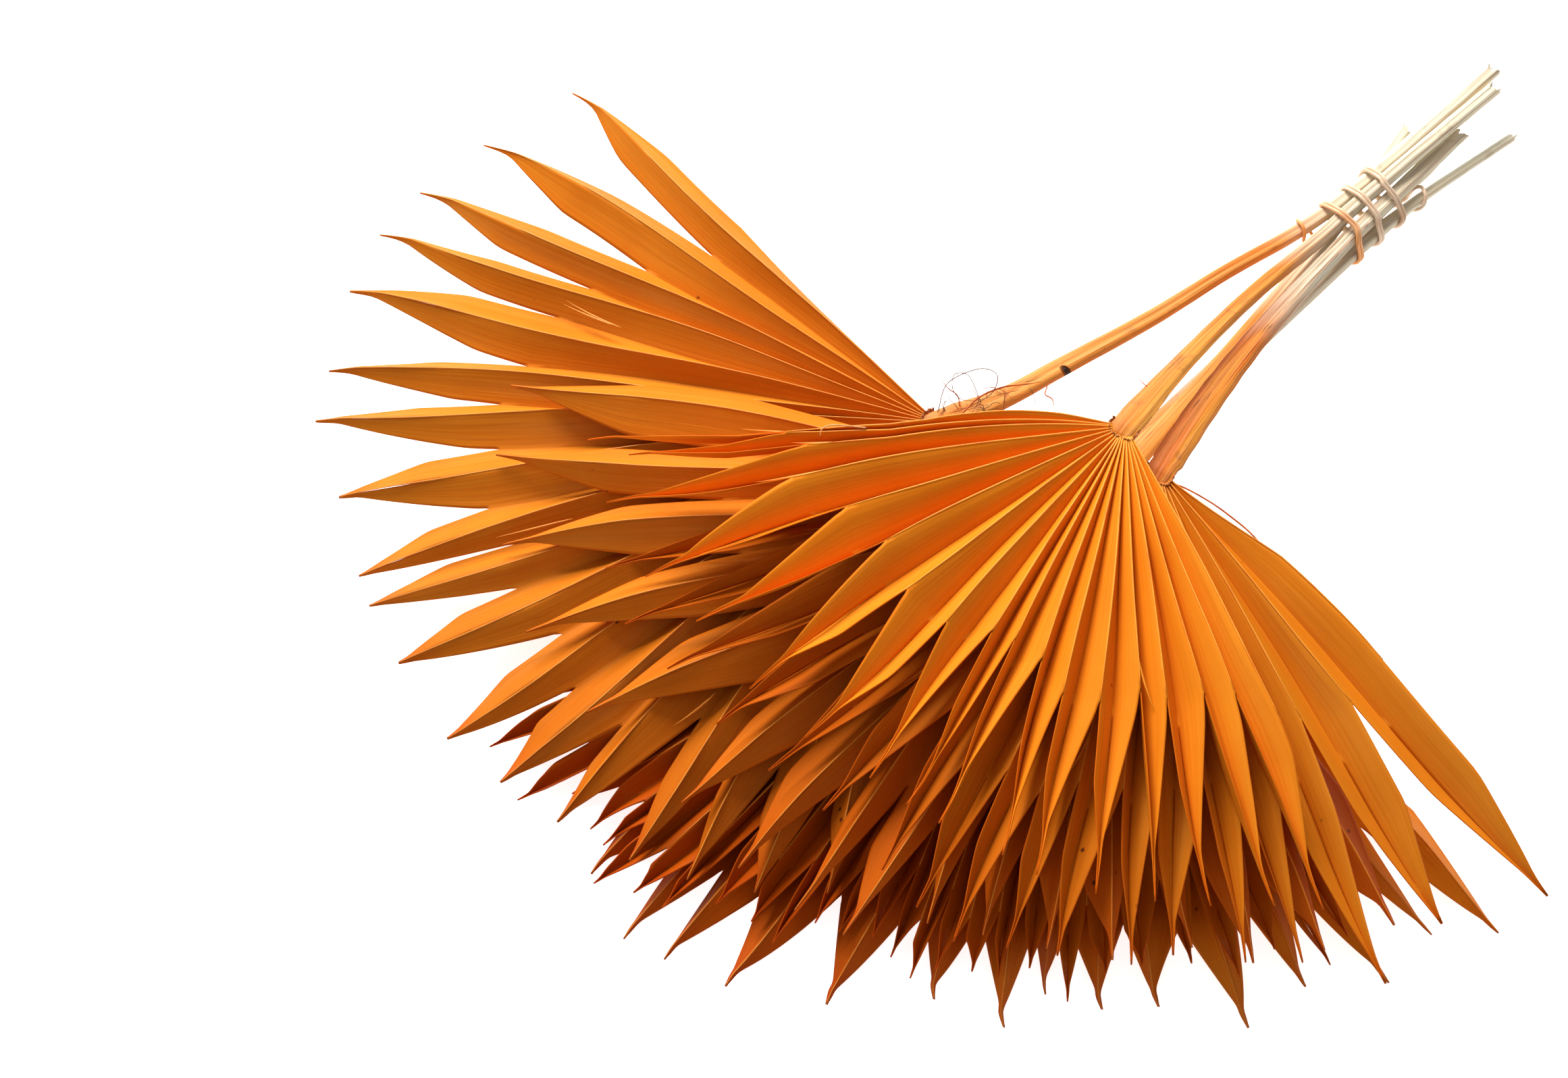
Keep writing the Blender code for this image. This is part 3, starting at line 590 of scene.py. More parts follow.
def lamina(blade, i, side):
    """One half of a segment as a grid: rows from hub to tip, columns from rib to edge.

    Returns plan positions, the height of the fold, the place (0..1 each way) and the
    share of its full width that each row keeps.
    """
    spec, rng = blade.spec, random.Random(blade.spec["seed"] * 1000 + i * 2 + (side > 0))
    j = i if side < 0 else i + 1
    reach, at = blade.reach[i], (i + 0.5) / blade.count
    root = blend(spec["joined"], at) * reach
    down = np.linspace(0, 1, WEB_ROWS + 1) ** 1.25
    rib = blade.line(HUB_RADIUS + (root - HUB_RADIUS) * down, blade.ribs[i], blade.wave[i])
    split = blade.split[j]
    edge = blade.line(HUB_RADIUS + (split - HUB_RADIUS) * down, blade.edges[j], blade.wave[j] + 2,
                      blade.swell[j])
    wide = blade.leans[j] if side < 0 else 1 - blade.leans[j]
    wide = min(max((wide - 0.35) / 0.3, 0.0), 1.0)

    # The free spear: the rib runs on, swinging a little; the edge closes in on it.
    swing = random.Random(spec["seed"] * 77 + i).uniform(-0.12, 0.12) * blade.step
    out = np.linspace(0, 1, SPEAR_ROWS + 1)[1:]
    hook = blade.curl[i] * curl_share(spec, i) * np.clip((out - 0.84) / 0.16, 0, 1) ** 1.3
    spear = blade.line(root + (reach - root) * out, blade.ribs[i] + swing * out**1.5 + hook,
                       blade.wave[i])
    corner = blend(spec["corner"], at) * rng.uniform(0.75, 1.15)
    corner = min(corner if wide > 0.5 else max(corner, 0.45), 0.8)
    needle = min(max(blend(spec["needle"], at) * rng.uniform(0.95, 1.04), corner + 0.1), 0.99)
    narrow = spear_width(out, corner, needle, rng.uniform(0.82, 1.05))
    offset = edge[-1] - rib[-1]
    along_rib = (spear[-1] - rib[-1]) / np.linalg.norm(spear[-1] - rib[-1])
    ahead = along_rib * offset.dot(along_rib)
    sideways = offset - ahead
    free = spear + sideways * narrow[:, None] + ahead * (narrow * (1 - out))[:, None]

    rib, edge = np.vstack([rib, spear]), np.vstack([edge, free])
    width = np.concatenate([np.ones(WEB_ROWS + 1), narrow])
    t = np.array(ACROSS)
    spots = rib[:, None, :] + (edge - rib)[:, None, :] * t[None, :, None]

    # Fold: with the rib in the valley, a wide face is rounded over towards its ridge and a
    # narrow one swings up to it. With the rib on the ridge, both faces ease into the valley.
    if spec["rib"] > 0:
        broad, steep = -1 + 2 * (1 - (1 - t) ** 1.45), -1 + 2 * t**1.3
        fold = steep + (broad - steep) * wide
    else:
        fold = 1 - 2 * (1.30 * t - 0.30 * t**2)
    radius = np.hypot(spots[..., 0] - blade.hub.x, spots[..., 1] - blade.hub.y)
    grown = np.clip(radius / FULL_RADIUS, 0, 1) ** 0.85
    high = 0.5 * (blade.depth[max(j - 1, 0)] + blade.depth[min(j, blade.count - 1)])
    own = blade.depth[i] + (high - blade.depth[i]) * t[None, :]
    lift = fold[None, :] * own * grown * width[:, None] ** 0.85
    along = radius / reach
    grid = np.stack([np.broadcast_to(t[None, :], along.shape), along], -1)
    return spots, lift, grid, width


def curl_share(spec, i):
    """How much of the curl the i-th tip has."""
    return random.Random(spec["seed"] * 13 + i).uniform(0.5, 1.1)


def blade_mesh(name, spec):
    """The fan's mesh, and the lines along its crests (lists of points)."""
    blade = Blade(spec)
    verts, faces, grains, places, crests = [], [], [], [], []
    base = 0
    for i in range(blade.count):
        rng = random.Random(spec["seed"] * 31 + i)
        roll = rng.uniform(-0.5, 0.5)
        droop = rng.uniform(-0.5, 0.7)
        for side in (-1, 1):
            spots, lift, grid, width = lamina(blade, i, side)
            rows, cols = lift.shape
            out = np.clip((np.arange(rows) - WEB_ROWS) / SPEAR_ROWS, 0, 1)
            free = out**1.5
            lift = lift + side * roll * 3.0 * MM * (free * width)[:, None] * grid[..., 0]
            lift = lift - (droop * 2.6 * MM * out**3)[:, None]
            x, y = spots[..., 0], spots[..., 1]
            z = in_layer(spec["layer"], x, y, lift)
            points = np.stack([x, y, z], -1)
            verts.append(points.reshape(-1, 3))
            if spec["rib"] > 0 and (side < 0 or i == blade.count - 1):
                crests.append(points[: WEB_ROWS + 1, -1])
            if spec["rib"] < 0 and side < 0:
                crests.append(points[:, 0])
            grain = np.stack([(2 * i + (side > 0)) * 0.37 + grid[..., 0] * 0.13,
                              np.hypot(x - blade.hub.x, y - blade.hub.y) * 10], -1)
            at = np.arange(rows * cols).reshape(rows, cols)
            a, b, c, d = at[:-1, :-1], at[:-1, 1:], at[1:, 1:], at[1:, :-1]
            order = (a, b, c, d) if side > 0 else (a, d, c, b)
            faces.append(np.stack(order, -1).reshape(-1, 4) + base)
            grains.append(grain.reshape(-1, 2))
            places.append(grid.reshape(-1, 2))
            base += rows * cols
    mesh = fan_mesh(name, *map(np.vstack, (verts, faces, grains, places)))
    return mesh, crests, splinters(blade)


def splinters(blade):
    """Slender splinters that came away from an edge near a split."""
    rng = random.Random(blade.spec["seed"] * 5)
    lines = []
    for _ in range(blade.spec.get("slivers", 0)):
        j = rng.randrange(1, blade.count)
        start = blade.split[j] * rng.uniform(0.80, 0.98)
        length = rng.uniform(16, 34) * MM
        turn = rng.choice((-1, 1)) * rng.uniform(0.10, 0.34) * blade.step
        out = np.linspace(0, 1, 14)
        spots = blade.line(start + length * out, blade.edges[j] + turn * out**1.4,
                           blade.wave[j] + 2)
        x, y = spots[:, 0], spots[:, 1]
        high = blade.depth[j] * (0.9 - 0.5 * out) + 0.5 * MM
        lines.append(np.stack([x, y, in_layer(blade.spec["layer"], x, y, high)], -1))
    return lines


def fan_mesh(name, verts, faces, grain, place):
    """The halves of all segments as one mesh, joined along ribs and folds."""
    mesh = bpy.data.meshes.new(name)
    mesh.from_pydata(verts.tolist(), [], faces.tolist())
    corners = faces.reshape(-1)
    for title, values in (("grain", grain), ("place", place)):
        layer = mesh.uv_layers.new(name=title)
        layer.data.foreach_set("uv", values[corners].astype(np.float32).reshape(-1))
    work = bmesh.new()
    work.from_mesh(mesh)
    bmesh.ops.remove_doubles(work, verts=list(work.verts), dist=1e-5)
    bmesh.ops.dissolve_degenerate(work, edges=list(work.edges), dist=1e-7)
    loose = [v for v in work.verts if not v.link_faces]
    bmesh.ops.delete(work, geom=loose, context="VERTS")
    for face in work.faces:
        face.smooth = True
    work.to_mesh(mesh)
    work.free()
    return mesh


def link(obj, node):
    bpy.context.scene.collection.objects.link(obj)
    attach(obj, "root")
    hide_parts(node)
    return obj


def crest_taper(t):
    return 1.0 if t < 0.8 else 1.0 - 0.6 * (t - 0.8) / 0.2


def sliver_taper(t):
    return 0.35 + 0.65 * min(1.0, t / 0.2) if t < 0.5 else 1.0 - 0.9 * (t - 0.5) / 0.5


def add_blade(name, spec, settings):
    mesh, crests, loose = blade_mesh(name + "_blade", spec)
    obj = bpy.data.objects.new(name + "_blade", mesh)
    mesh.materials.append(leaf_material(name + "_lamina", settings.dye, spec))
    mesh.materials.append(leaf_material(name + "_rim", settings.dye, spec, rim=True))
    mesh.set_sharp_from_angle(angle=math.radians(50))
    thick = obj.modifiers.new("thickness", "SOLIDIFY")
    thick.thickness = settings.blade_thickness
    thick.offset = 0
    thick.material_offset_rim = 1
    link(obj, name)

    # A fine rounded lip along each crest, where the fold catches the light.
    lip = CREST_LIP * (1.0 if spec["rib"] > 0 else 0.75)
    runs = [([Vector(p) + Vector((0, 0, 0.10 * MM)) for p in line], lip, 6, False, crest_taper)
            for line in crests]
    runs += [([Vector(p) for p in line], SLIVER_RADIUS, 6, False, sliver_taper)
             for line in loose]
    lips = tubes_object(name + "_folds", runs)
    lips.data.materials.append(fold_material(name + "_fold", settings.dye, spec))
    link(lips, name)


# ---------------------------------------------------------------- stalks


def stalk_at(spec, y):
    """Centre x and height, width and thickness of a stalk where it crosses y from the tie (mm)."""
    knots = spec["stalk"]
    i = 0
    while i < len(knots) - 2 and y > knots[i + 1][1]:
        i += 1

    def slope(k, axis):
        a, b = knots[max(k - 1, 0)], knots[min(k + 1, len(knots) - 1)]
        return (b[axis] - a[axis]) / (b[1] - a[1])

    a, b = knots[i], knots[i + 1]
    span = b[1] - a[1]
    t = min(max((y - a[1]) / span, 0.0), 1.0)
    return [
        (2 * t**3 - 3 * t**2 + 1) * a[axis] + (t**3 - 2 * t**2 + t) * span * slope(i, axis)
        + (3 * t**2 - 2 * t**3) * b[axis] + (t**3 - t**2) * span * slope(i + 1, axis)
        for axis in (0, 2, 3, 4)
    ]


# The head's end: how far past the hub, its width and its thickness (mm).
HEAD_END = ((5.2, 5, 1.0), (5.0, 8.5, 1.8), (4.2, 10.2, 2.6), (2.6, 11.2, 3.2), (1.2, 11.5, 3.6))


def stalk_mesh(name, spec):
    """A long loft: a flat head at the blade, a channel along the top, a ragged cut end."""
    rng = random.Random(spec["seed"] + 500)
    knots = spec["stalk"]
    start, end = knots[0][1], knots[-1][1]
    stations = []
    for k in range(STALK_ROWS + 1):
        y = start + (end - start) * k / STALK_ROWS
        x, z, width, thick = stalk_at(spec, y)
        stations.append((Vector((x, y, z)), width, thick, k / STALK_ROWS))
    away = (stations[0][0] - stations[2][0]).normalized()
    away.z = 0
    head = stations[0][0]
    ahead = [(head + away * far, width, thick, 0.0) for far, width, thick in HEAD_END]
    stations = ahead + [(spot, min(width, HEAD_WIDTH) if share < 0.02 else width, thick, share)
                        for spot, width, thick, share in stations]
    bark = spec["bark"]
    phase = [rng.uniform(0, 6.28) for _ in range(6)]
    verts, grain = [], []
    run = 0.0
    for k, (centre, width, thick, share) in enumerate(stations):
        after = stations[min(k + 1, len(stations) - 1)][0]
        before = stations[max(k - 1, 0)][0]
        along = (after - before).normalized()
        side = along.cross(Vector((0, 0, 1))).normalized()
        up = side.cross(along).normalized()
        run += (centre - before).length
        for q in range(STALK_SIDES + 1):
            turn = 2 * math.pi * q / STALK_SIDES
            cos, sin = math.cos(turn), math.sin(turn)
            high = sin * (0.46 if sin > 0 else 0.54)
            # A shallow channel along the top, and flat faces with soft corners below.
            dip = 0.10 * math.exp(-((cos / 0.42) ** 2)) if sin > 0 else 0.0
            ridge = (1 + (0.02 + 0.03 * bark) * math.sin(5 * turn + phase[0] + share * 3)
                     + (0.015 + 0.03 * bark) * math.sin(9 * turn + phase[1] - share * 5)
                     + 0.02 * bark * math.sin(share * 90 + phase[4] + 3 * turn))
            spot = centre + side * (0.5 * width * cos * ridge) + up * (thick * (high * ridge - dip))
            if k == len(stations) - 1:
                spot += along * (1.4 * math.sin(2 * turn + phase[2])
                                 + 1.1 * math.sin(7 * turn + phase[3])
                                 + 0.9 * math.sin(11 * turn + phase[5]))
            verts.append(kept_up(*spot, LOWEST))
            grain.append((q / STALK_SIDES * 0.2, run * 0.01))
    ring = STALK_SIDES + 1
    faces = []
    for k in range(len(stations) - 1):
        for q in range(STALK_SIDES):
            a = k * ring + q
            faces.append((a, a + 1, a + ring + 1, a + ring))
    for k in (0, len(stations) - 1):
        # The cut end is hollowed a little.
        hollow = (stations[-1][0] - stations[-2][0]).normalized() * (-1.2 if k else 0)
        verts.append(kept_up(*(stations[k][0] + hollow), LOWEST))
        grain.append((0.1, k * 0.02))
        middle = len(verts) - 1
        for q in range(STALK_SIDES):
            a = k * ring + q
            faces.append((a, a + 1, middle) if k else (a + 1, a, middle))
    mesh = bpy.data.meshes.new(name)
    mesh.from_pydata(verts, [], faces)
    layer = mesh.uv_layers.new(name="grain")
    corners = np.array(grain)[[v for face in faces for v in face]]
    layer.data.foreach_set("uv", corners.astype(np.float32).reshape(-1))
    facing_out(mesh, merge=1e-6, smooth=True)
    mesh.set_sharp_from_angle(angle=math.radians(55))
    return mesh


# Where the dye starts to fade along y, and over what length it fades (m).
DYE_ENDS = {
    "leaf_front": (0.120, 0.045), "leaf_right": (0.080, 0.05), "leaf_middle": (0.10, 0.05),
    "leaf_left": (0.135, 0.04), "leaf_low": (0.06, 0.04), "leaf_under": (0.04, 0.04),
}


def add_stalk(name, spec, settings):
    mesh = stalk_mesh(name + "_stalk", spec)
    obj = bpy.data.objects.new(name + "_stalk", mesh)
    start, length = DYE_ENDS[name]
    mesh.materials.append(stalk_material(name + "_straw", settings.dye, settings.straw, start,
                                         length, spec["bark"], spec.get("knot")))
    link(obj, name)
    rim = torn_rim(name + "_torn_rim", spec)
    rim.data.materials.append(plain_material(name + "_torn", (0.55, 0.20, 0.06),
                                             (0.22, 0.055, 0.015), 900.0, 0.8))
    link(rim, name)


def torn_rim(name, spec):
    """The torn edge of skin that stands round the stalk's end on the blade, as short shreds."""
    rng = random.Random(spec["seed"] + 900)
    head = Vector(spec["stalk"][0][:3])
    back = Vector(spec["stalk"][1][:3]) - head
    away = Vector((-back.x, -back.y, 0)).normalized()
    side = Vector((away.y, -away.x, 0))
    verts, faces = [], []
    count = 46
    for k in range(count + 1):
        turn = math.radians(-104 + 208 * k / count)
        wide = math.copysign(abs(math.sin(turn)) ** 0.7, turn) * (5.9 + 0.25 * math.sin(5 * turn))
        cos = math.cos(turn)
        far = 5.3 * max(cos, -0.4) if cos < 0 else 5.3 * cos**0.55
        foot = head + side * wide + away * far
        outwards = away * cos + side * math.sin(turn)
        lean = outwards * rng.uniform(-0.1, 0.9)
        tall = rng.uniform(-0.6, 0.4) + (1.0 if rng.random() < 0.15 else 0)
        for up, out in ((-1.6, 0.25), (0.9, 0.1), (1.3 + tall, 1.0)):
            spot = foot + lean * out + Vector((0, 0, up))
            for thick in (-0.16, 0.16):
                verts.append(kept_up(*(spot + outwards * thick), RIM_LOWEST))
    # Six corners to a station: three heights, each inner then outer.
    ring = (0, 2, 4, 5, 3, 1)
    for k in range(count):
        a, b = 6 * k, 6 * (k + 1)
        for q in range(6):
            c, d = ring[q], ring[(q + 1) % 6]
            faces.append((a + c, a + d, b + d, b + c))
    faces.append(tuple(ring))
    faces.append(tuple(6 * count + c for c in reversed(ring)))
    mesh = bpy.data.meshes.new(name)
    mesh.from_pydata(verts, [], faces)
    facing_out(mesh)
    return bpy.data.objects.new(name, mesh)


# ---------------------------------------------------------------- rubber band


def bundle_edge(turn, y, reach):
    """Where a taut band touches the bundle at y from the tie, facing the given way."""
    face = Vector((math.cos(turn), math.sin(turn)))
    best = None
    for spec in LEAVES.values():
        if y > spec["stalk"][-1][1]:
            continue
        x, z, width, thick = stalk_at(spec, y)
        spot = Vector((x, z)) + face * (0.5 * max(width, thick) + reach)
        if best is None or spot.dot(face) > best.dot(face):
            best = spot
    return best


def round_stalk(name, reach, y_from, y_to, turn_from, turn_to, steps):
    """Part of a turn of the strand round one stalk, from one facing to another (degrees)."""
    points = []
    for k in range(steps + 1):
        t = k / steps
        turn = math.radians(turn_from + (turn_to - turn_from) * t)
        at = y_from + (y_to - y_from) * t
        x, z, width, thick = stalk_at(LEAVES[name], at)
        far = 0.5 * max(width, thick) + reach
        points.append(Vector((x + far * math.cos(turn), at, z + far * math.sin(turn))))
    return points


def pitch(reach):
    """How far along the stalks (mm) the winding has come at each of its facings."""
    middle = 0.5 * (BAND_START + BAND_END)
    spots = [bundle_edge(math.radians(facing), middle, reach) for facing in FACINGS]
    run = [0.0]
    for before, after in zip(spots, spots[1:]):
        run.append(run[-1] + (after - before).length)
    return [BAND_START + (BAND_END - BAND_START) * far / run[-1] for far in run]


def wound(offset, reach, first, last):
    """One strand wound round the bundle, facing from one way to another (degrees)."""
    points = []
    for facing, along in zip(FACINGS, pitch(reach)):
        if first <= facing <= last:
            spot = bundle_edge(math.radians(facing), along + offset, reach)
            points.append(Vector((spot.x, along + offset, spot.y)))
    return points


def evenly(points, spacing):
    """The closed path through the points, walked at an even spacing."""
    ring = points + [points[0]]
    run = [0.0]
    for a, b in zip(ring, ring[1:]):
        run.append(run[-1] + (b - a).length)
    count = round(run[-1] / spacing)
    walked, i = [], 0
    for k in range(count):
        at = run[-1] * k / count
        while run[i + 1] < at:
            i += 1
        t = (at - run[i]) / max(run[i + 1] - run[i], 1e-9)
        walked.append(ring[i].lerp(ring[i + 1], t))
    return walked


def relaxed(points, times):
    """The closed path with its corners eased."""
    for _ in range(times):
        count = len(points)
        points = [points[k] * 0.5 + (points[k - 1] + points[(k + 1) % count]) * 0.25
                  for k in range(count)]
    return points


def band_path(radius):
    """Two strands wound side by side, each end of the loop hooked round one outer stalk."""
    reach = BAND_GAP + radius / MM
    out, back = wound(-STRAND_APART, reach, -100, 1030), wound(STRAND_APART, reach, -130, 990)
    end, start = BAND_END, BAND_START
    thin = round_stalk("leaf_low", reach, end, end + 8, -42, 145, 24)
    thin += round_stalk("leaf_right", reach, end + 8, end + 5, -38, -62, 5)
    thin += round_stalk("leaf_under", reach, end + 5, end + 2, 10, -75, 10)
    hold = round_stalk("leaf_left", reach, start - 1, start - 8, -135, -382, 28)
    hold += round_stalk("leaf_middle", reach, start - 8, start - 4, 150, 225, 10)
    return relaxed(evenly(out + thin + list(reversed(back)) + hold, 0.8), 10)


def tube(points, radius, sides, closed, taper=None):
    """(vertices, quads) of a tube along points in metres. taper(t) scales its radius."""
    count = len(points)
    verts, faces = [], []
    side = None
    for k in range(count):
        ahead = points[(k + 1) % count] if closed or k < count - 1 else points[k]
        behind = points[k - 1] if closed or k else points[k]
        along = (ahead - behind).normalized()
        if side is None:
            side = along.cross(Vector((0.3, 0.2, 1))).normalized()
        side = (side - along * side.dot(along)).normalized()
        up = along.cross(side)
        r = radius * (taper(k / max(count - 1, 1)) if taper else 1.0)
        for q in range(sides):
            turn = 2 * math.pi * q / sides
            verts.append(points[k] + side * (r * math.cos(turn)) + up * (r * math.sin(turn)))
    last = count if closed else count - 1
    shift = 0
    if closed:
        # The frame may come round turned; join the nearest corners.
        first = [verts[q] for q in range(sides)]
        ends = verts[(count - 1) * sides:count * sides]
        shift = min(range(sides), key=lambda s: sum(
            (ends[q] - first[(q + s) % sides]).length for q in range(sides)))
    for k in range(last):
        a, b = k * sides, ((k + 1) % count) * sides
        turn = shift if closed and k == count - 1 else 0
        for q in range(sides):
            r = (q + 1) % sides
            faces.append((a + q, a + r, b + (r + turn) % sides, b + (q + turn) % sides))
    if not closed:
        faces.append(tuple(reversed(range(sides))))
        faces.append(tuple(range((count - 1) * sides, count * sides)))
    return verts, faces


def tubes_object(name, runs):
    """One mesh of several tubes; each run is (points, radius, sides, closed, taper)."""
    verts, faces = [], []
    for run in runs:
        more, quads = tube(*run)
        faces += [tuple(v + len(verts) for v in quad) for quad in quads]
        verts += more
    mesh = bpy.data.meshes.new(name)
    mesh.from_pydata([tuple(v) for v in verts], [], faces)
    facing_out(mesh, smooth=True)
    return bpy.data.objects.new(name, mesh)


# ---------------------------------------------------------------- loose fibres


# Single strands: leaf, radius (mm), points from the tie (mm), and whether dark, dyed or pale.
STRANDS = (
    ("leaf_left", 0.42, ((-66, -197, 34), (-61.3, -193, 37), (-60, -181.5, 39), (-55.7, -171.4, 39),
                         (-50.1, -162.7, 36.5), (-47, -156, 33.5)), "dyed"),
    ("leaf_left", 0.30, ((-44, -156, 33), (-41.8, -160.1, 34), (-38.1, -160.2, 34.5),
                         (-34.4, -163, 33.5)), "dyed"),
    ("leaf_left", 0.20, ((-70, -196, 34), (-74.8, -183.9, 37), (-68, -172, 41), (-60, -170, 42),
                         (-57, -178, 40), (-62, -189, 37), (-66, -193, 34)), "dark"),
    ("leaf_left", 0.18, ((-60, -180, 33), (-70, -176, 38), (-74, -181, 41), (-69, -187, 40),
                         (-62, -184, 37), (-52, -166, 34)), "dark"),
    ("leaf_left", 0.26, ((-64.8, -188, 34), (-68.2, -185.6, 36.5), (-73.4, -185.9, 37.5),
                         (-79, -184, 38)), "dyed"),
    ("leaf_front", 0.22, ((-2, -141, 63.5), (-3, -144.7, 64), (-6.3, -145, 64.5),
                          (-8.6, -144, 65)), "dyed"),
    ("leaf_front", 0.34, ((-74.5, -237.7, 71), (-83.1, -244.3, 72), (-86.2, -247.4, 72),
                          (-87.2, -250.4, 71.5), (-86, -252.6, 71)), "pale"),
    ("leaf_right", 0.40, ((27, -171, 53), (32.4, -168.2, 55), (45.4, -166.6, 56),
                          (56.9, -166.4, 56), (68.2, -166.6, 54.5), (82, -169.5, 53),
                          (98, -174, 52)), "dyed"),
    ("leaf_right", 0.30, ((29, -172, 53), (38, -170, 55), (52, -169.4, 56), (66, -169.8, 55),
                          (78, -171.8, 53)), "dyed"),
)
STRAND_COLOURS = {"dyed": ((0.62, 0.13, 0.01), (0.40, 0.07, 0.008)),
                  "dark": ((0.16, 0.05, 0.02), (0.07, 0.022, 0.01)),
                  "pale": ((0.80, 0.42, 0.18), (0.70, 0.30, 0.09))}


def eased(points, per_span):
    """A smooth path through points."""
    path, last = [], len(points) - 1
    for i in range(last):
        a, b = points[i], points[i + 1]
        before = points[i - 1] if i else a * 2 - b
        after = points[i + 2] if i + 2 <= last else b * 2 - a
        for k in range(per_span):
            t = k / per_span
            path.append(0.5 * (a * 2 + (b - before) * t
                               + (before * 2 - a * 5 + b * 4 - after) * t**2
                               + (a * 3 - before - b * 3 + after) * t**3))
    return path + [points[last]]


def frayed(t):
    return 1.0 if t < 0.6 else 1.0 - 0.75 * (t - 0.6) / 0.4


def strand_objects(settings):
    """The frayed strands, and short loose hairs at the left leaf's hub."""
    rng = random.Random(404)
    runs = {}
    for leaf, radius, spots, kind in STRANDS:
        path = [placed(*spot) for spot in spots]
        runs.setdefault((leaf, kind), []).append((eased(path, 9), radius * MM, 6, False, frayed))
    for _ in range(settings.fibres):
        y = rng.uniform(-196, -160)
        x, z, _, _ = stalk_at(LEAVES["leaf_left"], y)
        turn, tilt = rng.uniform(0, 2 * math.pi), rng.uniform(0.1, 1.0)
        spot = Vector((x + rng.uniform(-4, 4), y, z + 2.2))
        path = [spot]
        for _ in range(6):
            turn += rng.uniform(-0.7, 0.7)
            tilt -= rng.uniform(0.05, 0.35)
            step = Vector((math.cos(turn), math.sin(turn), tilt)) * rng.uniform(0.9, 2.6)
            path.append(path[-1] + step)
        path = [placed(*spot) for spot in path]
        kind = "dark" if rng.random() < 0.55 else "dyed"
        runs.setdefault(("leaf_left", kind), []).append(
            (eased(path, 4), rng.uniform(0.09, 0.17) * MM, 5, False, frayed))
    for (leaf, kind), group in runs.items():
        name = f"{leaf}_{kind}_strands"
        obj = tubes_object(name, group)
        light, dark = STRAND_COLOURS[kind]
        obj.data.materials.append(plain_material(name, light, dark, 300.0, 0.6))
        link(obj, leaf)


# ---------------------------------------------------------------- operators


class BUNCH_OT_blades(bpy.types.Operator):
    """Builds the six pleated blades"""

    bl_idname = "bunch.blades"
    bl_label = "Blades"

    def execute(self, context):
        for name, spec in LEAVES.items():
            add_blade(name, spec, context.scene.palm_bunch)
        return {"FINISHED"}


class BUNCH_OT_stalks(bpy.types.Operator):
    """Builds the six stalks with their cut ends"""

    bl_idname = "bunch.stalks"
    bl_label = "Stalks"

    def execute(self, context):
        for name, spec in LEAVES.items():
            add_stalk(name, spec, context.scene.palm_bunch)
        return {"FINISHED"}


class BUNCH_OT_strands(bpy.types.Operator):
    """Adds the frayed strands and loose hairs"""

    bl_idname = "bunch.strands"
    bl_label = "Strands"

    def execute(self, context):
        strand_objects(context.scene.palm_bunch)
        return {"FINISHED"}


class BUNCH_OT_band(bpy.types.Operator):
    """Winds the rubber band round the stalks"""

    bl_idname = "bunch.band"
    bl_label = "Rubber band"

    def execute(self, context):
        settings = context.scene.palm_bunch
        path = [placed(*spot) for spot in band_path(settings.strand)]
        obj = tubes_object("rubber_band_strand", [(path, settings.strand, 12, True)])
        obj.data.materials.append(rubber_material("band_rubber", settings.rubber))
        link(obj, "rubber_band")
        return {"FINISHED"}


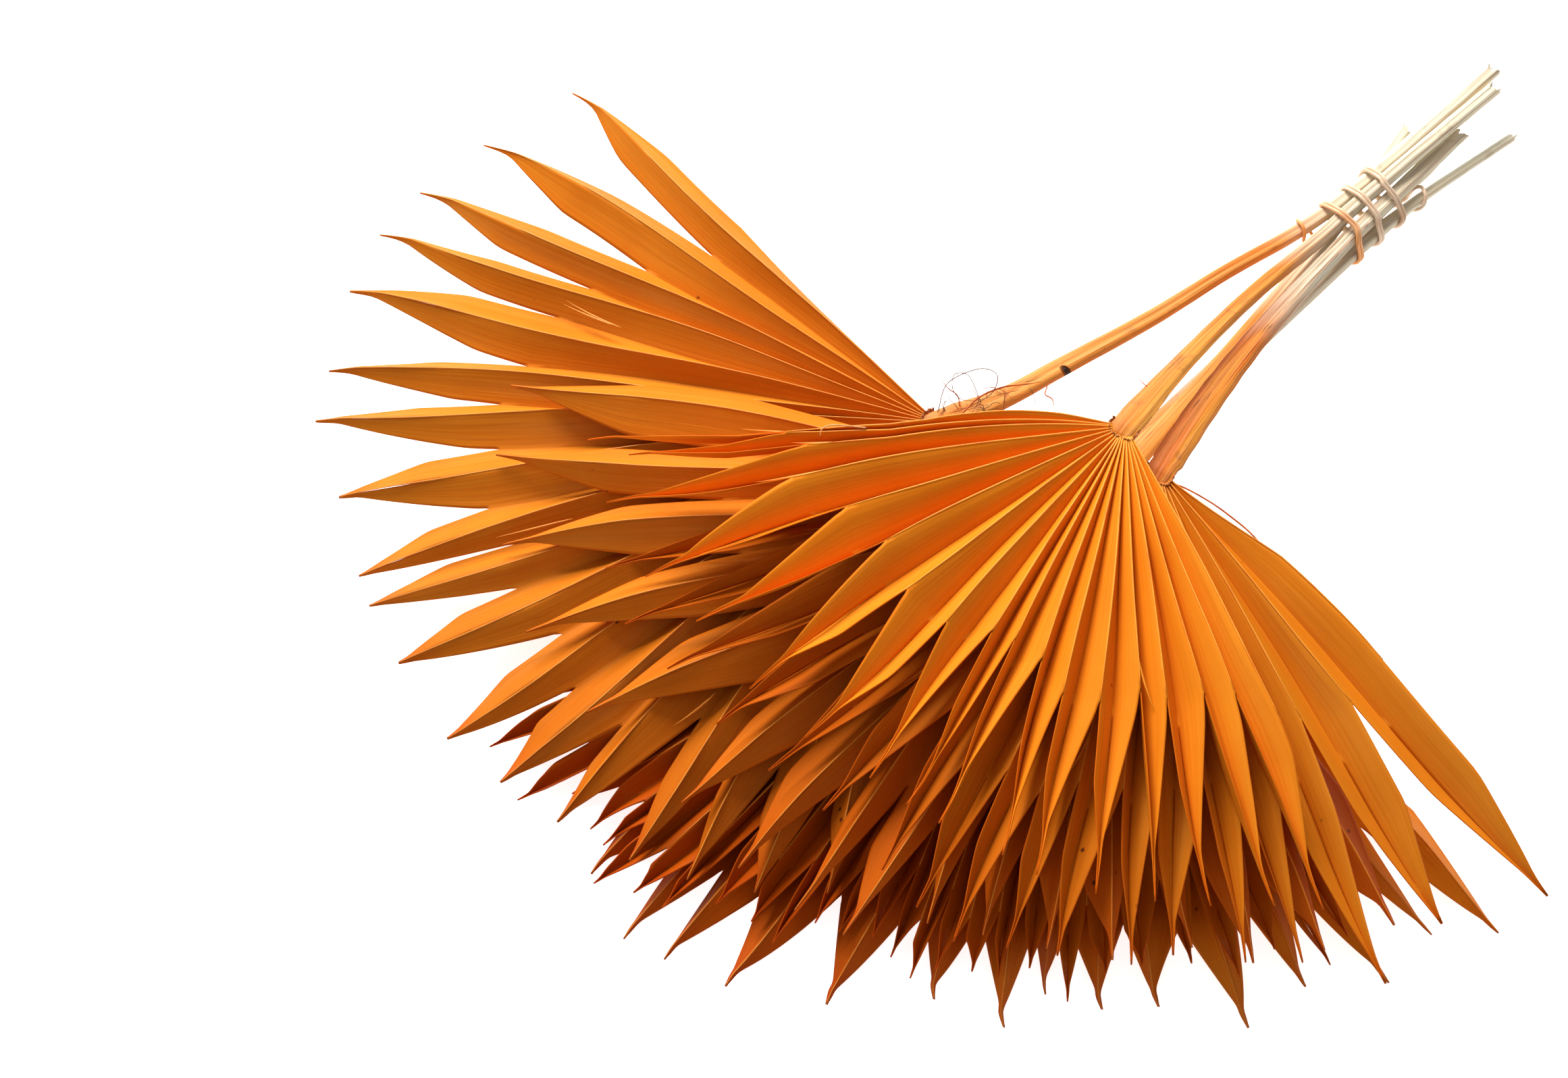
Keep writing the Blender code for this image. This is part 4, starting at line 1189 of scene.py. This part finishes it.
class BUNCH_OT_stage(bpy.types.Operator):
    """Sets the floor, the lights and the camera"""

    bl_idname = "bunch.stage"
    bl_label = "Studio"

    def execute(self, context):
        scene, settings = context.scene, context.scene.palm_stage
        mesh = bpy.data.meshes.new("floor")
        corners = ((-1, -1), (1, -1), (1, 1), (-1, 1))
        mesh.from_pydata([(x * FLOOR_HALF, y * FLOOR_HALF, 0) for x, y in corners],
                         [], [(0, 1, 2, 3)])
        floor = bpy.data.objects.new("floor", mesh)
        floor.location.z = FLOOR_DROP
        mesh.materials.append(floor_material("floor_paper", settings.floor))
        scene.collection.objects.link(floor)

        back = Vector((math.sin(AZIMUTH) * math.cos(ELEVATION),
                       -math.cos(AZIMUTH) * math.cos(ELEVATION), math.sin(ELEVATION)))
        camera = bpy.data.objects.new("camera", bpy.data.cameras.new("camera"))
        camera.data.lens = settings.lens
        camera.data.sensor_width = SENSOR
        camera.location = TARGET + back * DISTANCE * settings.lens / DISTANCE_LENS
        camera.rotation_euler = back.to_track_quat("Z", "Y").to_euler()
        scene.collection.objects.link(camera)
        scene.camera = camera

        lamp = bpy.data.objects.new("key", bpy.data.lights.new("key", "AREA"))
        lamp.data.size = KEY_SIZE
        lamp.data.energy = settings.key
        lamp.data.color = (1.0, 0.985, 0.96)
        lamp.location = KEY_PLACE
        aim = Vector(KEY_PLACE) - Vector(KEY_AIM)
        lamp.rotation_euler = aim.to_track_quat("Z", "Y").to_euler()
        scene.collection.objects.link(lamp)

        world = bpy.data.worlds.new("studio")
        world.use_nodes = True
        shade = world.node_tree.nodes["Background"]
        shade.inputs["Color"].default_value = (1.0, 1.0, 1.0, 1.0)
        shade.inputs["Strength"].default_value = settings.sky
        scene.world = world
        scene.view_settings.view_transform = "Standard"
        return {"FINISHED"}


class BUNCH_PT_panel(bpy.types.Panel):
    """The bunch's settings and steps"""

    bl_label = "Palm Bunch"
    bl_idname = "BUNCH_PT_panel"
    bl_space_type = "VIEW_3D"
    bl_region_type = "UI"
    bl_category = "Palm Bunch"

    def draw(self, context):
        for group in (context.scene.palm_bunch, context.scene.palm_stage):
            for key in group.bl_rna.properties.keys():
                if key not in ("rna_type", "name"):
                    self.layout.prop(group, key)
        for step in STEPS:
            self.layout.operator(step)


CLASSES = (BunchSettings, StageSettings, BUNCH_OT_blades, BUNCH_OT_stalks, BUNCH_OT_strands,
           BUNCH_OT_band, BUNCH_OT_stage, BUNCH_PT_panel)
STEPS = ("bunch.blades", "bunch.stalks", "bunch.strands", "bunch.band", "bunch.stage")


def register():
    for cls in CLASSES:
        bpy.utils.register_class(cls)
    bpy.types.Scene.palm_bunch = bpy.props.PointerProperty(type=BunchSettings)
    bpy.types.Scene.palm_stage = bpy.props.PointerProperty(type=StageSettings)


def unregister():
    del bpy.types.Scene.palm_stage
    del bpy.types.Scene.palm_bunch
    for cls in reversed(CLASSES):
        bpy.utils.unregister_class(cls)


def main():
    register()
    for step in STEPS:
        group, name = step.split(".")
        getattr(getattr(bpy.ops, group), name)()
    bpy.context.view_layer.update()


if __name__ == "__main__":
    main()
